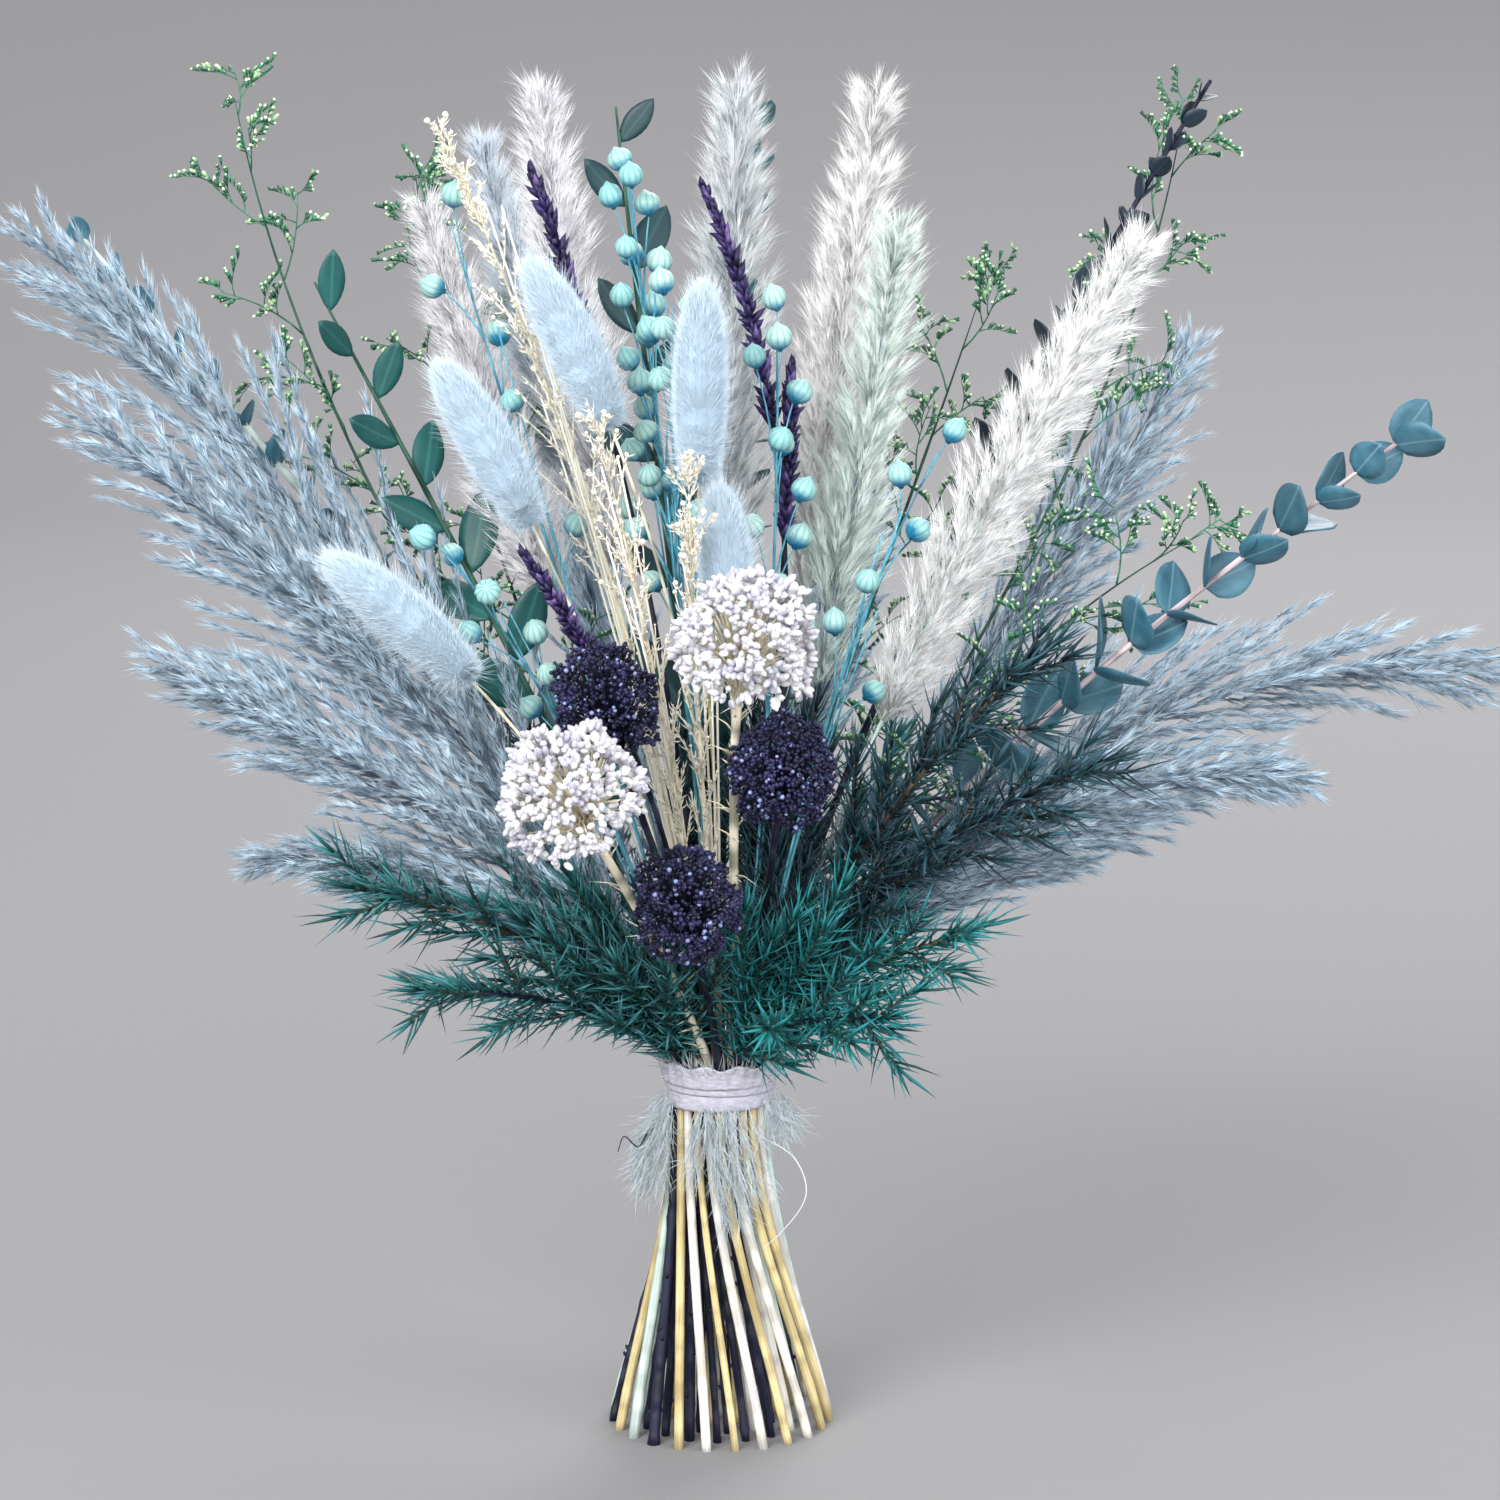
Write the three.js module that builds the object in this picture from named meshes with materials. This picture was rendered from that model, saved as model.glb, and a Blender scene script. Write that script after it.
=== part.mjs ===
// A dried bouquet of dyed pampas grass and filler flowers, tied at the waist and standing
// on its splayed cut ends. Millimetres, +Z up, the floor at z = 0, -Y is the bouquet's front.
//
// Every flower is one closed body, from its flat cut foot, through the tie, to the tip of
// its head. The florist's list says where each head goes. The stems share out the places
// under the tie, and the flowers then push each other aside until nothing touches.
import * as THREE from 'three';

// ---- driving dimensions ----
const TIE_HEIGHT = 106;        // middle of the tie above the floor
const TIE_BAND = 12;           // height of the wrapped tape
const TIE_WALL = 1.4;          // thickness of the wrapped tape
const TIE_SIDES = 32;
const FOOT_SPLAY = 2.45;       // how far the feet spread, times the waist
const FOOT_TWIST = 38;         // degrees the legs turn between the tie and the floor
const CLEARANCE = 0.35;        // air between neighbours
const LEAN_ALLOWANCE = 1.015;  // stems that lean take this much more room across
const STEM_RINGS = 6;          // rings of points between the tie and a head
const HEAD_RINGS = 6;          // rings of points along a head, one for each outline value

// ---- kinds of flower: half-widths in mm, sides of the section, and colour ----
// outline: half-width of the head at even steps from its base to just before its tip,
// as a share of the girth
const KINDS = {
  pampas_plume: { stem: 1.5, girth: 12.5, sides: 8, colour: 0x9fb6c9, rough: 0.9,
    outline: [0.35, 0.8, 1, 0.95, 0.75, 0.4] },
  reed_plume: { stem: 1.4, girth: 9, sides: 8, colour: 0xe2e4e1, rough: 0.9,
    outline: [0.4, 0.85, 1, 0.95, 0.75, 0.45] },
  bunny_tail: { stem: 1.0, girth: 9.5, sides: 8, colour: 0xb5d0ec, rough: 0.95,
    outline: [0.6, 0.93, 1, 0.97, 0.85, 0.58] },
  flax: { stem: 1.0, girth: 5.5, sides: 6, colour: 0x6fb9c6, rough: 0.6,
    outline: [0.4, 0.8, 1, 1, 0.9, 0.65] },
  lavender: { stem: 1.1, girth: 3.6, sides: 6, colour: 0x2f2350, rough: 0.85,
    outline: [0.6, 1, 1, 0.95, 0.8, 0.55] },
  navy_cluster: { stem: 1.2, girth: 14, sides: 8, colour: 0x1d2040, rough: 0.9,
    outline: [0.45, 0.85, 1, 1, 0.92, 0.7] },
  rice_flower: { stem: 1.3, girth: 18, sides: 8, colour: 0xeeeaf0, rough: 0.7,
    outline: [0.3, 0.65, 0.92, 1, 0.95, 0.75] },
  bleached_spray: { stem: 1.2, girth: 3.4, sides: 6, colour: 0xe6dcb8, rough: 0.75,
    outline: [0.7, 1, 1, 0.95, 0.85, 0.6] },
  needle_foliage: { stem: 1.3, girth: 7.5, sides: 6, colour: 0x0c4a52, rough: 0.6,
    outline: [0.45, 0.85, 1, 1, 0.85, 0.55] },
  eucalyptus: { stem: 1.4, girth: 6, sides: 6, colour: 0x4f7681, rough: 0.55,
    outline: [0.4, 0.9, 1, 1, 0.9, 0.7] },
  sea_lavender: { stem: 1.1, girth: 5, sides: 6, colour: 0x5f8a6b, rough: 0.8,
    outline: [0.35, 0.7, 0.95, 1, 0.95, 0.7] },
  ruscus: { stem: 1.2, girth: 5, sides: 6, colour: 0x1c5f58, rough: 0.45,
    outline: [0.35, 0.7, 0.95, 1, 0.9, 0.65] },
};

// ---- the florist's list ----
// fan: degrees right of straight up; fore: degrees towards the front; reach: mm from the
// middle of the tie to the tip; curl: degrees the tip turns further out; head: its length
const FLOWERS = [
  { kind: 'pampas_plume', fan: -38.5, fore: -2, reach: 328, curl: -4, head: 215 },
  { kind: 'pampas_plume', fan: -41.5, fore: 7, reach: 277, curl: -7, head: 185 },
  { kind: 'pampas_plume', fan: -50, fore: 13, reach: 219, curl: -14, head: 140 },
  { kind: 'pampas_plume', fan: -62, fore: 9, reach: 158, curl: -30, head: 92 },
  { kind: 'pampas_plume', fan: 62, fore: -1, reach: 265, curl: 38, head: 185 },
  { kind: 'pampas_plume', fan: 60, fore: 10, reach: 200, curl: 40, head: 110 },
  { kind: 'pampas_plume', fan: 34, fore: -16, reach: 274, curl: -4, head: 120 },
  { kind: 'pampas_plume', fan: 61, fore: -10, reach: 170, curl: 18, head: 95 },
  { kind: 'pampas_plume', fan: -18, fore: -36, reach: 205, curl: -6, head: 105 },
  { kind: 'pampas_plume', fan: 17, fore: -34, reach: 210, curl: 6, head: 105 },
  { kind: 'reed_plume', fan: -10.5, fore: -9, reach: 306, curl: 5, head: 135 },
  { kind: 'reed_plume', fan: -18.5, fore: -4, reach: 278, curl: 3, head: 120 },
  { kind: 'reed_plume', fan: -15, fore: -15, reach: 301, curl: 0, head: 108 },
  { kind: 'reed_plume', fan: 1, fore: -12, reach: 310, curl: 0, head: 155 },
  { kind: 'reed_plume', fan: 9, fore: -7, reach: 305, curl: -2, head: 145 },
  { kind: 'reed_plume', fan: 11.5, fore: 1, reach: 264, curl: -4, head: 135 },
  { kind: 'reed_plume', fan: 26, fore: 2, reach: 283, curl: 5, head: 150 },
  { kind: 'bunny_tail', fan: -19.5, fore: 14, reach: 241, curl: -12, head: 53 },
  { kind: 'bunny_tail', fan: -12, fore: 11, reach: 259, curl: -18, head: 52 },
  { kind: 'bunny_tail', fan: -1, fore: 13, reach: 249, curl: 3, head: 58 },
  { kind: 'bunny_tail', fan: 0, fore: 14, reach: 190, curl: -4, head: 46 },
  { kind: 'bunny_tail', fan: -32.5, fore: 22, reach: 216, curl: -18, head: 56 },
  { kind: 'flax', fan: -5.5, fore: 4, reach: 282, curl: -1, head: 78 },
  { kind: 'flax', fan: -3, fore: 8, reach: 247, curl: 5, head: 70 },
  { kind: 'flax', fan: -16.5, fore: 5, reach: 280, curl: 2, head: 70 },
  { kind: 'flax', fan: -25, fore: 17, reach: 202, curl: -10, head: 60 },
  { kind: 'flax', fan: 4, fore: 8, reach: 240, curl: -5, head: 78 },
  { kind: 'flax', fan: 18, fore: 12, reach: 216, curl: 9, head: 60 },
  { kind: 'lavender', fan: -11, fore: 6, reach: 282, curl: -8, head: 40 },
  { kind: 'lavender', fan: -1, fore: 5, reach: 272, curl: -24, head: 44 },
  { kind: 'lavender', fan: -18, fore: 20, reach: 189, curl: -15, head: 42 },
  { kind: 'lavender', fan: 5.5, fore: 5, reach: 221, curl: -4, head: 26 },
  { kind: 'navy_cluster', fan: -14.5, fore: 24, reach: 160, curl: 2, head: 38 },
  { kind: 'navy_cluster', fan: 9, fore: 30, reach: 141, curl: -2, head: 34 },
  { kind: 'navy_cluster', fan: -8, fore: 43, reach: 113, curl: 2, head: 42 },
  { kind: 'rice_flower', fan: -22, fore: 37, reach: 158, curl: 0, head: 40 },
  { kind: 'rice_flower', fan: 3.5, fore: 29, reach: 186, curl: 0, head: 46 },
  { kind: 'bleached_spray', fan: -15.5, fore: 7, reach: 300, curl: -9, head: 150 },
  { kind: 'bleached_spray', fan: -9.5, fore: 16, reach: 215, curl: -4, head: 90 },
  { kind: 'bleached_spray', fan: -2.5, fore: 18, reach: 201, curl: 2, head: 85 },
  { kind: 'needle_foliage', fan: -57.5, fore: 19, reach: 137, curl: -18, head: 82 },
  { kind: 'needle_foliage', fan: -65.5, fore: 28, reach: 108, curl: -16, head: 62 },
  { kind: 'needle_foliage', fan: 34, fore: 19, reach: 183, curl: 14, head: 105 },
  { kind: 'needle_foliage', fan: 45, fore: 25, reach: 175, curl: 20, head: 100 },
  { kind: 'needle_foliage', fan: 50, fore: 35, reach: 113, curl: 15, head: 64 },
  { kind: 'needle_foliage', fan: 52, fore: 52, reach: 101, curl: 18, head: 58 },
  { kind: 'needle_foliage', fan: -36, fore: -42, reach: 152, curl: -10, head: 84 },
  { kind: 'needle_foliage', fan: 34, fore: -44, reach: 150, curl: 10, head: 84 },
  { kind: 'eucalyptus', fan: 44, fore: 12, reach: 290, curl: 7, head: 160 },
  { kind: 'eucalyptus', fan: 26.5, fore: -9, reach: 341, curl: 6, head: 105 },
  { kind: 'eucalyptus', fan: 2.5, fore: -18, reach: 308, curl: 3, head: 70 },
  { kind: 'eucalyptus', fan: -37.5, fore: -7, reach: 328, curl: -4, head: 105 },
  { kind: 'sea_lavender', fan: -26.5, fore: -8, reach: 334, curl: 16, head: 82 },
  { kind: 'sea_lavender', fan: -19, fore: -12, reach: 295, curl: 14, head: 78 },
  { kind: 'sea_lavender', fan: 26, fore: -12, reach: 334, curl: -18, head: 90 },
  { kind: 'sea_lavender', fan: 19, fore: -15, reach: 258, curl: 0, head: 60 },
  { kind: 'sea_lavender', fan: 40, fore: 5, reach: 223, curl: 22, head: 74 },
  { kind: 'ruscus', fan: -26.5, fore: -2, reach: 271, curl: -1, head: 74 },
  { kind: 'ruscus', fan: -6, fore: -3, reach: 296, curl: 0, head: 60 },
];

// the stems are packed under the tie at a spacing that the thickest of them needs
const THICKEST_STEM = Math.max(...Object.values(KINDS).map((kind) => kind.stem));
const STEM_PITCH = (2 * THICKEST_STEM + CLEARANCE) * LEAN_ALLOWANCE;

const TINY = 1e-9;
const UP = new THREE.Vector3(0, 0, 1);
const vec = (x, y, z) => new THREE.Vector3(x, y, z);

// the unit direction at a fan and a fore angle, both in degrees
function heading(fan, fore) {
  const a = THREE.MathUtils.degToRad(fan);
  const b = THREE.MathUtils.degToRad(fore);
  return vec(Math.sin(a) * Math.cos(b), -Math.sin(b), Math.cos(a) * Math.cos(b));
}

// ---- places for the stems under the tie: rings of 1, 6, 12, 18... round the middle ----
// every other ring is turned by half a step, so that its stems lie in the gaps of the last
function tiePlaces(count) {
  const places = [vec(0, 0, 0)];
  for (let ring = 1; places.length < count; ring++) {
    const onRing = 6 * ring;
    for (let i = 0; i < onRing; i++) {
      const step = i + (ring % 2) / 2;
      const angle = (2 * Math.PI * step) / onRing;
      places.push(vec(Math.cos(angle), Math.sin(angle), 0).multiplyScalar(ring * STEM_PITCH));
    }
  }
  return places;
}

// each flower takes the place nearest to the side it leans to; two of them swap places
// as long as that shortens their way
const LEAN_TO_PLACE = 1.6;     // a lean of 40 degrees wishes for the outermost ring

function shareOutPlaces(flowers) {
  const places = tiePlaces(flowers.length);
  const waist = Math.max(...places.map((p) => p.length()));
  const wish = flowers.map((f) => {
    const lean = heading(f.fan, f.fore);
    return vec(lean.x, lean.y, 0).multiplyScalar(LEAN_TO_PLACE * waist);
  });
  const cost = (i, p) => wish[i] ? wish[i].distanceToSquared(places[p]) : 0;
  const taken = places.map((_, i) => i);
  for (let swapped = true; swapped;) {
    swapped = false;
    for (let i = 0; i < taken.length; i++) {
      for (let j = i + 1; j < taken.length; j++) {
        const now = cost(i, taken[i]) + cost(j, taken[j]);
        const then = cost(i, taken[j]) + cost(j, taken[i]);
        if (then < now - TINY) {
          [taken[i], taken[j]] = [taken[j], taken[i]];
          swapped = true;
        }
      }
    }
  }
  flowers.forEach((f, i) => { f.place = places[taken[i]]; });
  return waist;
}

// ---- a flower's spine: points from the foot to the tip, and a half-width at each ----
const STRAIGHT_PAST_TIE = 1;   // a stem stays upright this far above and below the tape
const START_CURL = -0.7;       // share of the curl that a stem makes up for as it leaves
const START_FORE = 0.8;        // share of its fore angle that it leaves the tie with
const START_UPRIGHT = 0.4;     // how much straight up is mixed into that direction
const FIRST_RING = 0.6;        // steps between the base of a head and its first ring

function grow(flower) {
  const kind = KINDS[flower.kind];
  const halfTie = TIE_BAND / 2 + STRAIGHT_PAST_TIE;
  const tieTop = vec(flower.place.x, flower.place.y, TIE_HEIGHT + halfTie);
  const tieLow = vec(flower.place.x, flower.place.y, TIE_HEIGHT - halfTie);
  const foot = flower.place.clone().multiplyScalar(FOOT_SPLAY);
  foot.applyAxisAngle(UP, THREE.MathUtils.degToRad(FOOT_TWIST));

  const tip = heading(flower.fan, flower.fore).multiplyScalar(flower.reach);
  tip.z += TIE_HEIGHT;
  const length = tip.distanceTo(tieTop);
  const start = heading(flower.fan + START_CURL * flower.curl, START_FORE * flower.fore);
  start.addScaledVector(UP, START_UPRIGHT).normalize();
  const end = heading(flower.fan + flower.curl, flower.fore);
  const arm = new THREE.CubicBezierCurve3(
    tieTop,
    tieTop.clone().addScaledVector(start, length / 3),
    tip.clone().addScaledVector(end, -length / 3),
    tip,
  );
  const neck = 1 - flower.head / arm.getLength();

  flower.spine = [foot, tieLow, tieTop];
  flower.width = [kind.stem, kind.stem, kind.stem];
  for (let i = 1; i <= STEM_RINGS; i++) {
    flower.spine.push(arm.getPointAt((neck * i) / STEM_RINGS));
    flower.width.push(kind.stem);
  }
  for (let i = 0; i < HEAD_RINGS; i++) {
    const along = (i + FIRST_RING) / HEAD_RINGS;
    flower.spine.push(arm.getPointAt(neck + (1 - neck) * along));
    flower.width.push(kind.girth * kind.outline[i]);
  }
  flower.spine.push(tip);
  flower.width.push(0);
  flower.sides = kind.sides;
}

// ---- making room: flowers push each other aside, mostly forwards and backwards ----
const FIXED = 3;               // the first points, up to the top of the tie, stay put
const SIDEWAYS = 0.45;         // share of a push that goes sideways or up
const SLACK = 1.03;            // a push aims for a little more room than is needed
const EASE = 0.3;              // how fast a bend spreads along its stem
const ROUNDS = 400;
const EASED_ROUNDS = 330;      // the last rounds only push
const SAME_PLACE = 0.01;       // mm; below this the list's order says which goes in front

// the closest points of segments p-q and r-s, as shares along each
function closest(p, q, r, s) {
  const d1 = q.clone().sub(p);
  const d2 = s.clone().sub(r);
  const w = p.clone().sub(r);
  const a = d1.dot(d1);
  const b = d1.dot(d2);
  const c = d1.dot(w);
  const e = d2.dot(d2);
  const f = d2.dot(w);
  const det = a * e - b * b;
  let t = det > TINY ? THREE.MathUtils.clamp((b * f - c * e) / det, 0, 1) : 0;
  let u = (b * t + f) / e;
  if (u < 0 || u > 1) {
    u = THREE.MathUtils.clamp(u, 0, 1);
    t = THREE.MathUtils.clamp((b * u - c) / a, 0, 1);
  }
  return [t, u];
}

function pushApart(one, other) {
  let pushed = false;
  for (let i = FIXED - 1; i < one.spine.length - 1; i++) {
    for (let j = FIXED - 1; j < other.spine.length - 1; j++) {
      const [p, q] = [one.spine[i], one.spine[i + 1]];
      const [r, s] = [other.spine[j], other.spine[j + 1]];
      const widest = Math.max(one.width[i], one.width[i + 1]) + CLEARANCE
        + Math.max(other.width[j], other.width[j + 1]);
      if (Math.min(p.x, q.x) > Math.max(r.x, s.x) + widest) continue;
      if (Math.min(r.x, s.x) > Math.max(p.x, q.x) + widest) continue;
      if (Math.min(p.y, q.y) > Math.max(r.y, s.y) + widest) continue;
      if (Math.min(r.y, s.y) > Math.max(p.y, q.y) + widest) continue;
      if (Math.min(p.z, q.z) > Math.max(r.z, s.z) + widest) continue;
      if (Math.min(r.z, s.z) > Math.max(p.z, q.z) + widest) continue;
      const [t, u] = closest(p, q, r, s);
      const gap = p.clone().lerp(q, t).sub(r.clone().lerp(s, u));
      const need = THREE.MathUtils.lerp(one.width[i], one.width[i + 1], t) + CLEARANCE
        + THREE.MathUtils.lerp(other.width[j], other.width[j + 1], u);
      const lack = need * SLACK - gap.length();
      if (lack <= 0) continue;
      pushed = true;
      const way = vec(gap.x * SIDEWAYS, gap.y, gap.z * SIDEWAYS);
      if (way.length() < SAME_PLACE) way.set(0, one.order < other.order ? 1 : -1, 0);
      way.normalize().multiplyScalar(lack / 2);
      if (i >= FIXED) p.addScaledVector(way, 1 - t);
      q.addScaledVector(way, t);
      if (j >= FIXED) r.addScaledVector(way, u - 1);
      s.addScaledVector(way, -u);
    }
  }
  return pushed;
}

// spreads the bend of a stem over its neighbours, so it stays a smooth curve
function ease(flower) {
  const moved = flower.spine.map((p, i) => p.clone().sub(flower.grown[i]));
  const last = moved.length - 1;
  for (let i = FIXED; i <= last; i++) {
    const next = i < last ? moved[i + 1] : moved[i].clone().multiplyScalar(2).sub(moved[i - 1]);
    const mean = moved[i - 1].clone().add(next).multiplyScalar(0.5);
    flower.spine[i].addScaledVector(mean.sub(moved[i]), EASE);
  }
}

function makeRoom(flowers) {
  flowers.forEach((f, i) => {
    f.order = i;
    f.grown = f.spine.map((p) => p.clone());
  });
  for (let round = 0; round < ROUNDS; round++) {
    let pushed = false;
    for (let i = 0; i < flowers.length; i++) {
      for (let j = i + 1; j < flowers.length; j++) {
        if (pushApart(flowers[i], flowers[j])) pushed = true;
      }
    }
    if (!pushed) return;
    if (round < EASED_ROUNDS) flowers.forEach(ease);
  }
}

// ---- the body of a flower: a turned outline, bent to follow its spine ----
function flowerBody(flower) {
  const { spine, width, sides } = flower;
  const outline = [new THREE.Vector2(0, 0)];
  width.slice(0, -1).forEach((w, i) => outline.push(new THREE.Vector2(w, i)));
  outline.push(new THREE.Vector2(0, width.length - 1));

  // a cross axis at every point, carried along the spine without twisting
  const across = [vec(1, 0, 0)];
  const along = [UP.clone()];
  for (let i = 1; i < spine.length; i++) {
    const ahead = spine[Math.min(i + 1, spine.length - 1)].clone().sub(spine[i - 1]);
    along.push(ahead.normalize());
    const side = across[i - 1].clone();
    side.addScaledVector(along[i], -side.dot(along[i])).normalize();
    across.push(side);
  }

  const body = new THREE.LatheGeometry(outline, sides);
  const at = body.getAttribute('position');
  for (let v = 0; v < at.count; v++) {
    const ring = Math.round(at.getY(v));
    const third = across[ring].clone().cross(along[ring]);
    const place = spine[ring].clone();
    place.addScaledVector(across[ring], at.getX(v)).addScaledVector(third, at.getZ(v));
    at.setXYZ(v, place.x, place.y, place.z);
  }
  return body;
}

// ---- the tape round the waist ----
function tieBody(waist) {
  const inner = waist + THICKEST_STEM + CLEARANCE;
  const outer = inner + TIE_WALL;
  const low = TIE_HEIGHT - TIE_BAND / 2;
  const high = TIE_HEIGHT + TIE_BAND / 2;
  const section = [[inner, low], [outer, low], [outer, high], [inner, high], [inner, low]];
  const points = section.map(([r, z]) => new THREE.Vector2(r, z));
  return new THREE.LatheGeometry(points, TIE_SIDES).rotateX(Math.PI / 2);
}

const bouquet = new THREE.Group();
const flowers = FLOWERS.map((row) => ({ ...row }));
const waist = shareOutPlaces(flowers);
flowers.forEach(grow);
makeRoom(flowers);

const made = {};
for (const flower of flowers) {
  const { colour, rough } = KINDS[flower.kind];
  made[flower.kind] = (made[flower.kind] || 0) + 1;
  const finish = new THREE.MeshStandardMaterial({ color: colour, roughness: rough, metalness: 0 });
  const mesh = new THREE.Mesh(flowerBody(flower), finish);
  mesh.name = `${flower.kind}_${made[flower.kind]}`;
  bouquet.add(mesh);
}

const tape = new THREE.MeshStandardMaterial({ color: 0xe9dfe6, roughness: 0.35, metalness: 0 });
const tie = new THREE.Mesh(tieBody(waist), tape);
tie.name = 'tie';
bouquet.add(tie);

// the origin is on the floor, under the middle of the bouquet's box
const box = new THREE.Box3().setFromObject(bouquet);
bouquet.position.set(-(box.min.x + box.max.x) / 2, -(box.min.y + box.max.y) / 2, 0);
bouquet.updateMatrixWorld(true);

export default bouquet;
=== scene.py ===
# A hand-tied dried bouquet of dyed pampas grass and filler flowers, standing on its cut ends.
# The CAD model gives each plant's way from the floor through the tie to the tip of its head.
import math

import bmesh
import bpy
import numpy as np
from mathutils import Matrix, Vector


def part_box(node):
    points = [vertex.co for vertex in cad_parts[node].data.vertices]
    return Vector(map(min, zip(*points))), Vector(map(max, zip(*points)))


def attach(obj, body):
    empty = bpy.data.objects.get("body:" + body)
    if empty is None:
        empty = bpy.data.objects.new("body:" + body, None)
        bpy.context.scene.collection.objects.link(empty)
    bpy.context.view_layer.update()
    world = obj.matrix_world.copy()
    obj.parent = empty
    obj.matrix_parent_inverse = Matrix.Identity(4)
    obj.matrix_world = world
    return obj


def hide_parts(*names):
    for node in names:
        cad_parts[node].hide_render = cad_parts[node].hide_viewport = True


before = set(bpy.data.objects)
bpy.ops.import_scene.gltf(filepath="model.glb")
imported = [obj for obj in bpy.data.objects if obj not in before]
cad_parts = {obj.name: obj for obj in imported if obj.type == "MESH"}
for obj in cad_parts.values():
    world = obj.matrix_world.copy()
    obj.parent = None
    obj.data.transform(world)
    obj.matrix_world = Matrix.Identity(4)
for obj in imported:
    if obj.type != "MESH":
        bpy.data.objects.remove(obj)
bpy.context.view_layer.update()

# ------------------------------------------------------------
# The stems. Dry grass and flower stalks, cut to one length, so every plant stands on its own
# cut end. Some are bleached, some left straw-coloured and some dipped in dark dye. Each
# stalk is a round rod with slight joints, thinner towards the head that it carries.
MM = 0.001
UP = np.array([0.0, 0.0, 1.0])
NECK = 9          # rings of the CAD body from the foot to where the head begins
ROUND = 6.28      # once round, near enough for bearings drawn at random


def units(vectors):
    """Vectors brought to length one."""
    return vectors / np.maximum(np.linalg.norm(vectors, axis=-1, keepdims=True), 1e-12)


def plant(node):
    """A plant's way from foot to tip, and its half-width there, read from its CAD body:
    the body is a row of rings, so each ring is one step further from the foot's centre."""
    body = bmesh.new()
    body.from_mesh(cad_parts[node].data)
    bmesh.ops.remove_doubles(body, verts=body.verts, dist=0.001 * MM)
    floor = min(v.co.z for v in body.verts) + 0.01 * MM
    foot = next(v for v in body.verts if all(n.co.z < floor for f in v.link_faces for n in f.verts))
    seen, ring, way, width = {foot}, [foot], [], []
    while ring:
        ring = [n for n in dict.fromkeys(e.other_vert(v) for v in ring for e in v.link_edges)
                if n not in seen]
        seen.update(ring)
        if ring:
            points = np.array([v.co for v in ring])
            way.append(points.mean(axis=0))
            width.append(np.linalg.norm(points - way[-1], axis=1).max())
    body.free()
    return np.array(way), np.array(width)


def flow(points, count, last=1.0):
    """Evenly spaced points on a smooth curve through the given ones, and the way it heads."""
    gaps = np.linalg.norm(np.diff(points, axis=0), axis=1)
    at = np.concatenate([[0.0], np.cumsum(gaps)])
    slope = np.gradient(points, at, axis=0)
    where = np.linspace(0.0, last, count) * at[-1]
    i = np.clip(np.searchsorted(at, where, side="right") - 1, 0, len(gaps) - 1)
    t, step = ((where - at[i]) / gaps[i])[:, None], gaps[i][:, None]
    line = (2 * t**3 - 3 * t**2 + 1) * points[i] + (t**3 - 2 * t**2 + t) * step * slope[i]
    line += (3 * t**2 - 2 * t**3) * points[i + 1] + (t**3 - t**2) * step * slope[i + 1]
    return line, units(np.gradient(line, axis=0))


def sides_of(ways):
    """A cross direction at every point of a line, carried along it without twisting."""
    side = np.array([1.0, 0.0, 0.0])
    row = []
    for way in ways:
        side = units(side - side.dot(way) * way)
        row.append(side)
    return np.array(row)


def rod(line, ways, radii, sides=8):
    """A round rod along a line: a disc drawn out step by step. Its colour pattern follows it."""
    mesh = bmesh.new()
    grain = mesh.verts.layers.float_vector.new("grain")
    spots = [(math.cos(a), math.sin(a)) for a in np.linspace(0, 2 * math.pi, sides, endpoint=False)]
    bmesh.ops.create_circle(mesh, cap_ends=True, segments=sides, radius=1.0)
    face = mesh.faces[:][0]
    run = 0.0
    for k, (point, way, side, radius) in enumerate(zip(line, ways, sides_of(ways), radii)):
        if k:
            made = bmesh.ops.extrude_face_region(mesh, geom=[face])["geom"]
            face = next(g for g in made if isinstance(g, bmesh.types.BMFace))
            run += np.linalg.norm(point - line[k - 1])
        third = np.cross(way, side)
        for corner, (c, s) in zip(face.verts, spots):
            corner.co = point + radius * (c * side + s * third)
            corner[grain] = (c * radius, s * radius, run)
    bmesh.ops.recalc_face_normals(mesh, faces=mesh.faces)
    return mesh


def cone(sides, foot, tip, cuts=(), belly=1.0):
    """A cone one unit tall on its root, cut across so that it can bow, and widened there."""
    made = bmesh.new()
    bmesh.ops.create_cone(made, cap_ends=True, segments=sides, radius1=foot, radius2=tip, depth=1.0)
    bmesh.ops.translate(made, verts=made.verts, vec=(0, 0, 0.5))
    for cut in cuts:
        bmesh.ops.bisect_plane(made, geom=made.verts[:] + made.edges[:] + made.faces[:],
                               plane_co=(0, 0, cut), plane_no=(0, 0, 1))
    for corner in made.verts:
        if any(abs(corner.co.z - cut) < 0.1 for cut in cuts):
            corner.co.xy *= belly
    return made


def batch(pattern):
    """A pattern's points and faces as arrays, with nothing repeated."""
    pattern.verts.index_update()
    grain = pattern.verts.layers.float_vector.get("grain")
    mark = pattern.verts.layers.float.get("mark")
    return {
        "points": np.array([v.co for v in pattern.verts]),
        "corners": np.array([v.index for f in pattern.faces for v in f.verts]),
        "sizes": np.array([len(f.verts) for f in pattern.faces]),
        "grain": np.array([v[grain] for v in pattern.verts]) if grain else None,
        "mark": np.array([v[mark] for v in pattern.verts]) if mark else None,
    }


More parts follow.
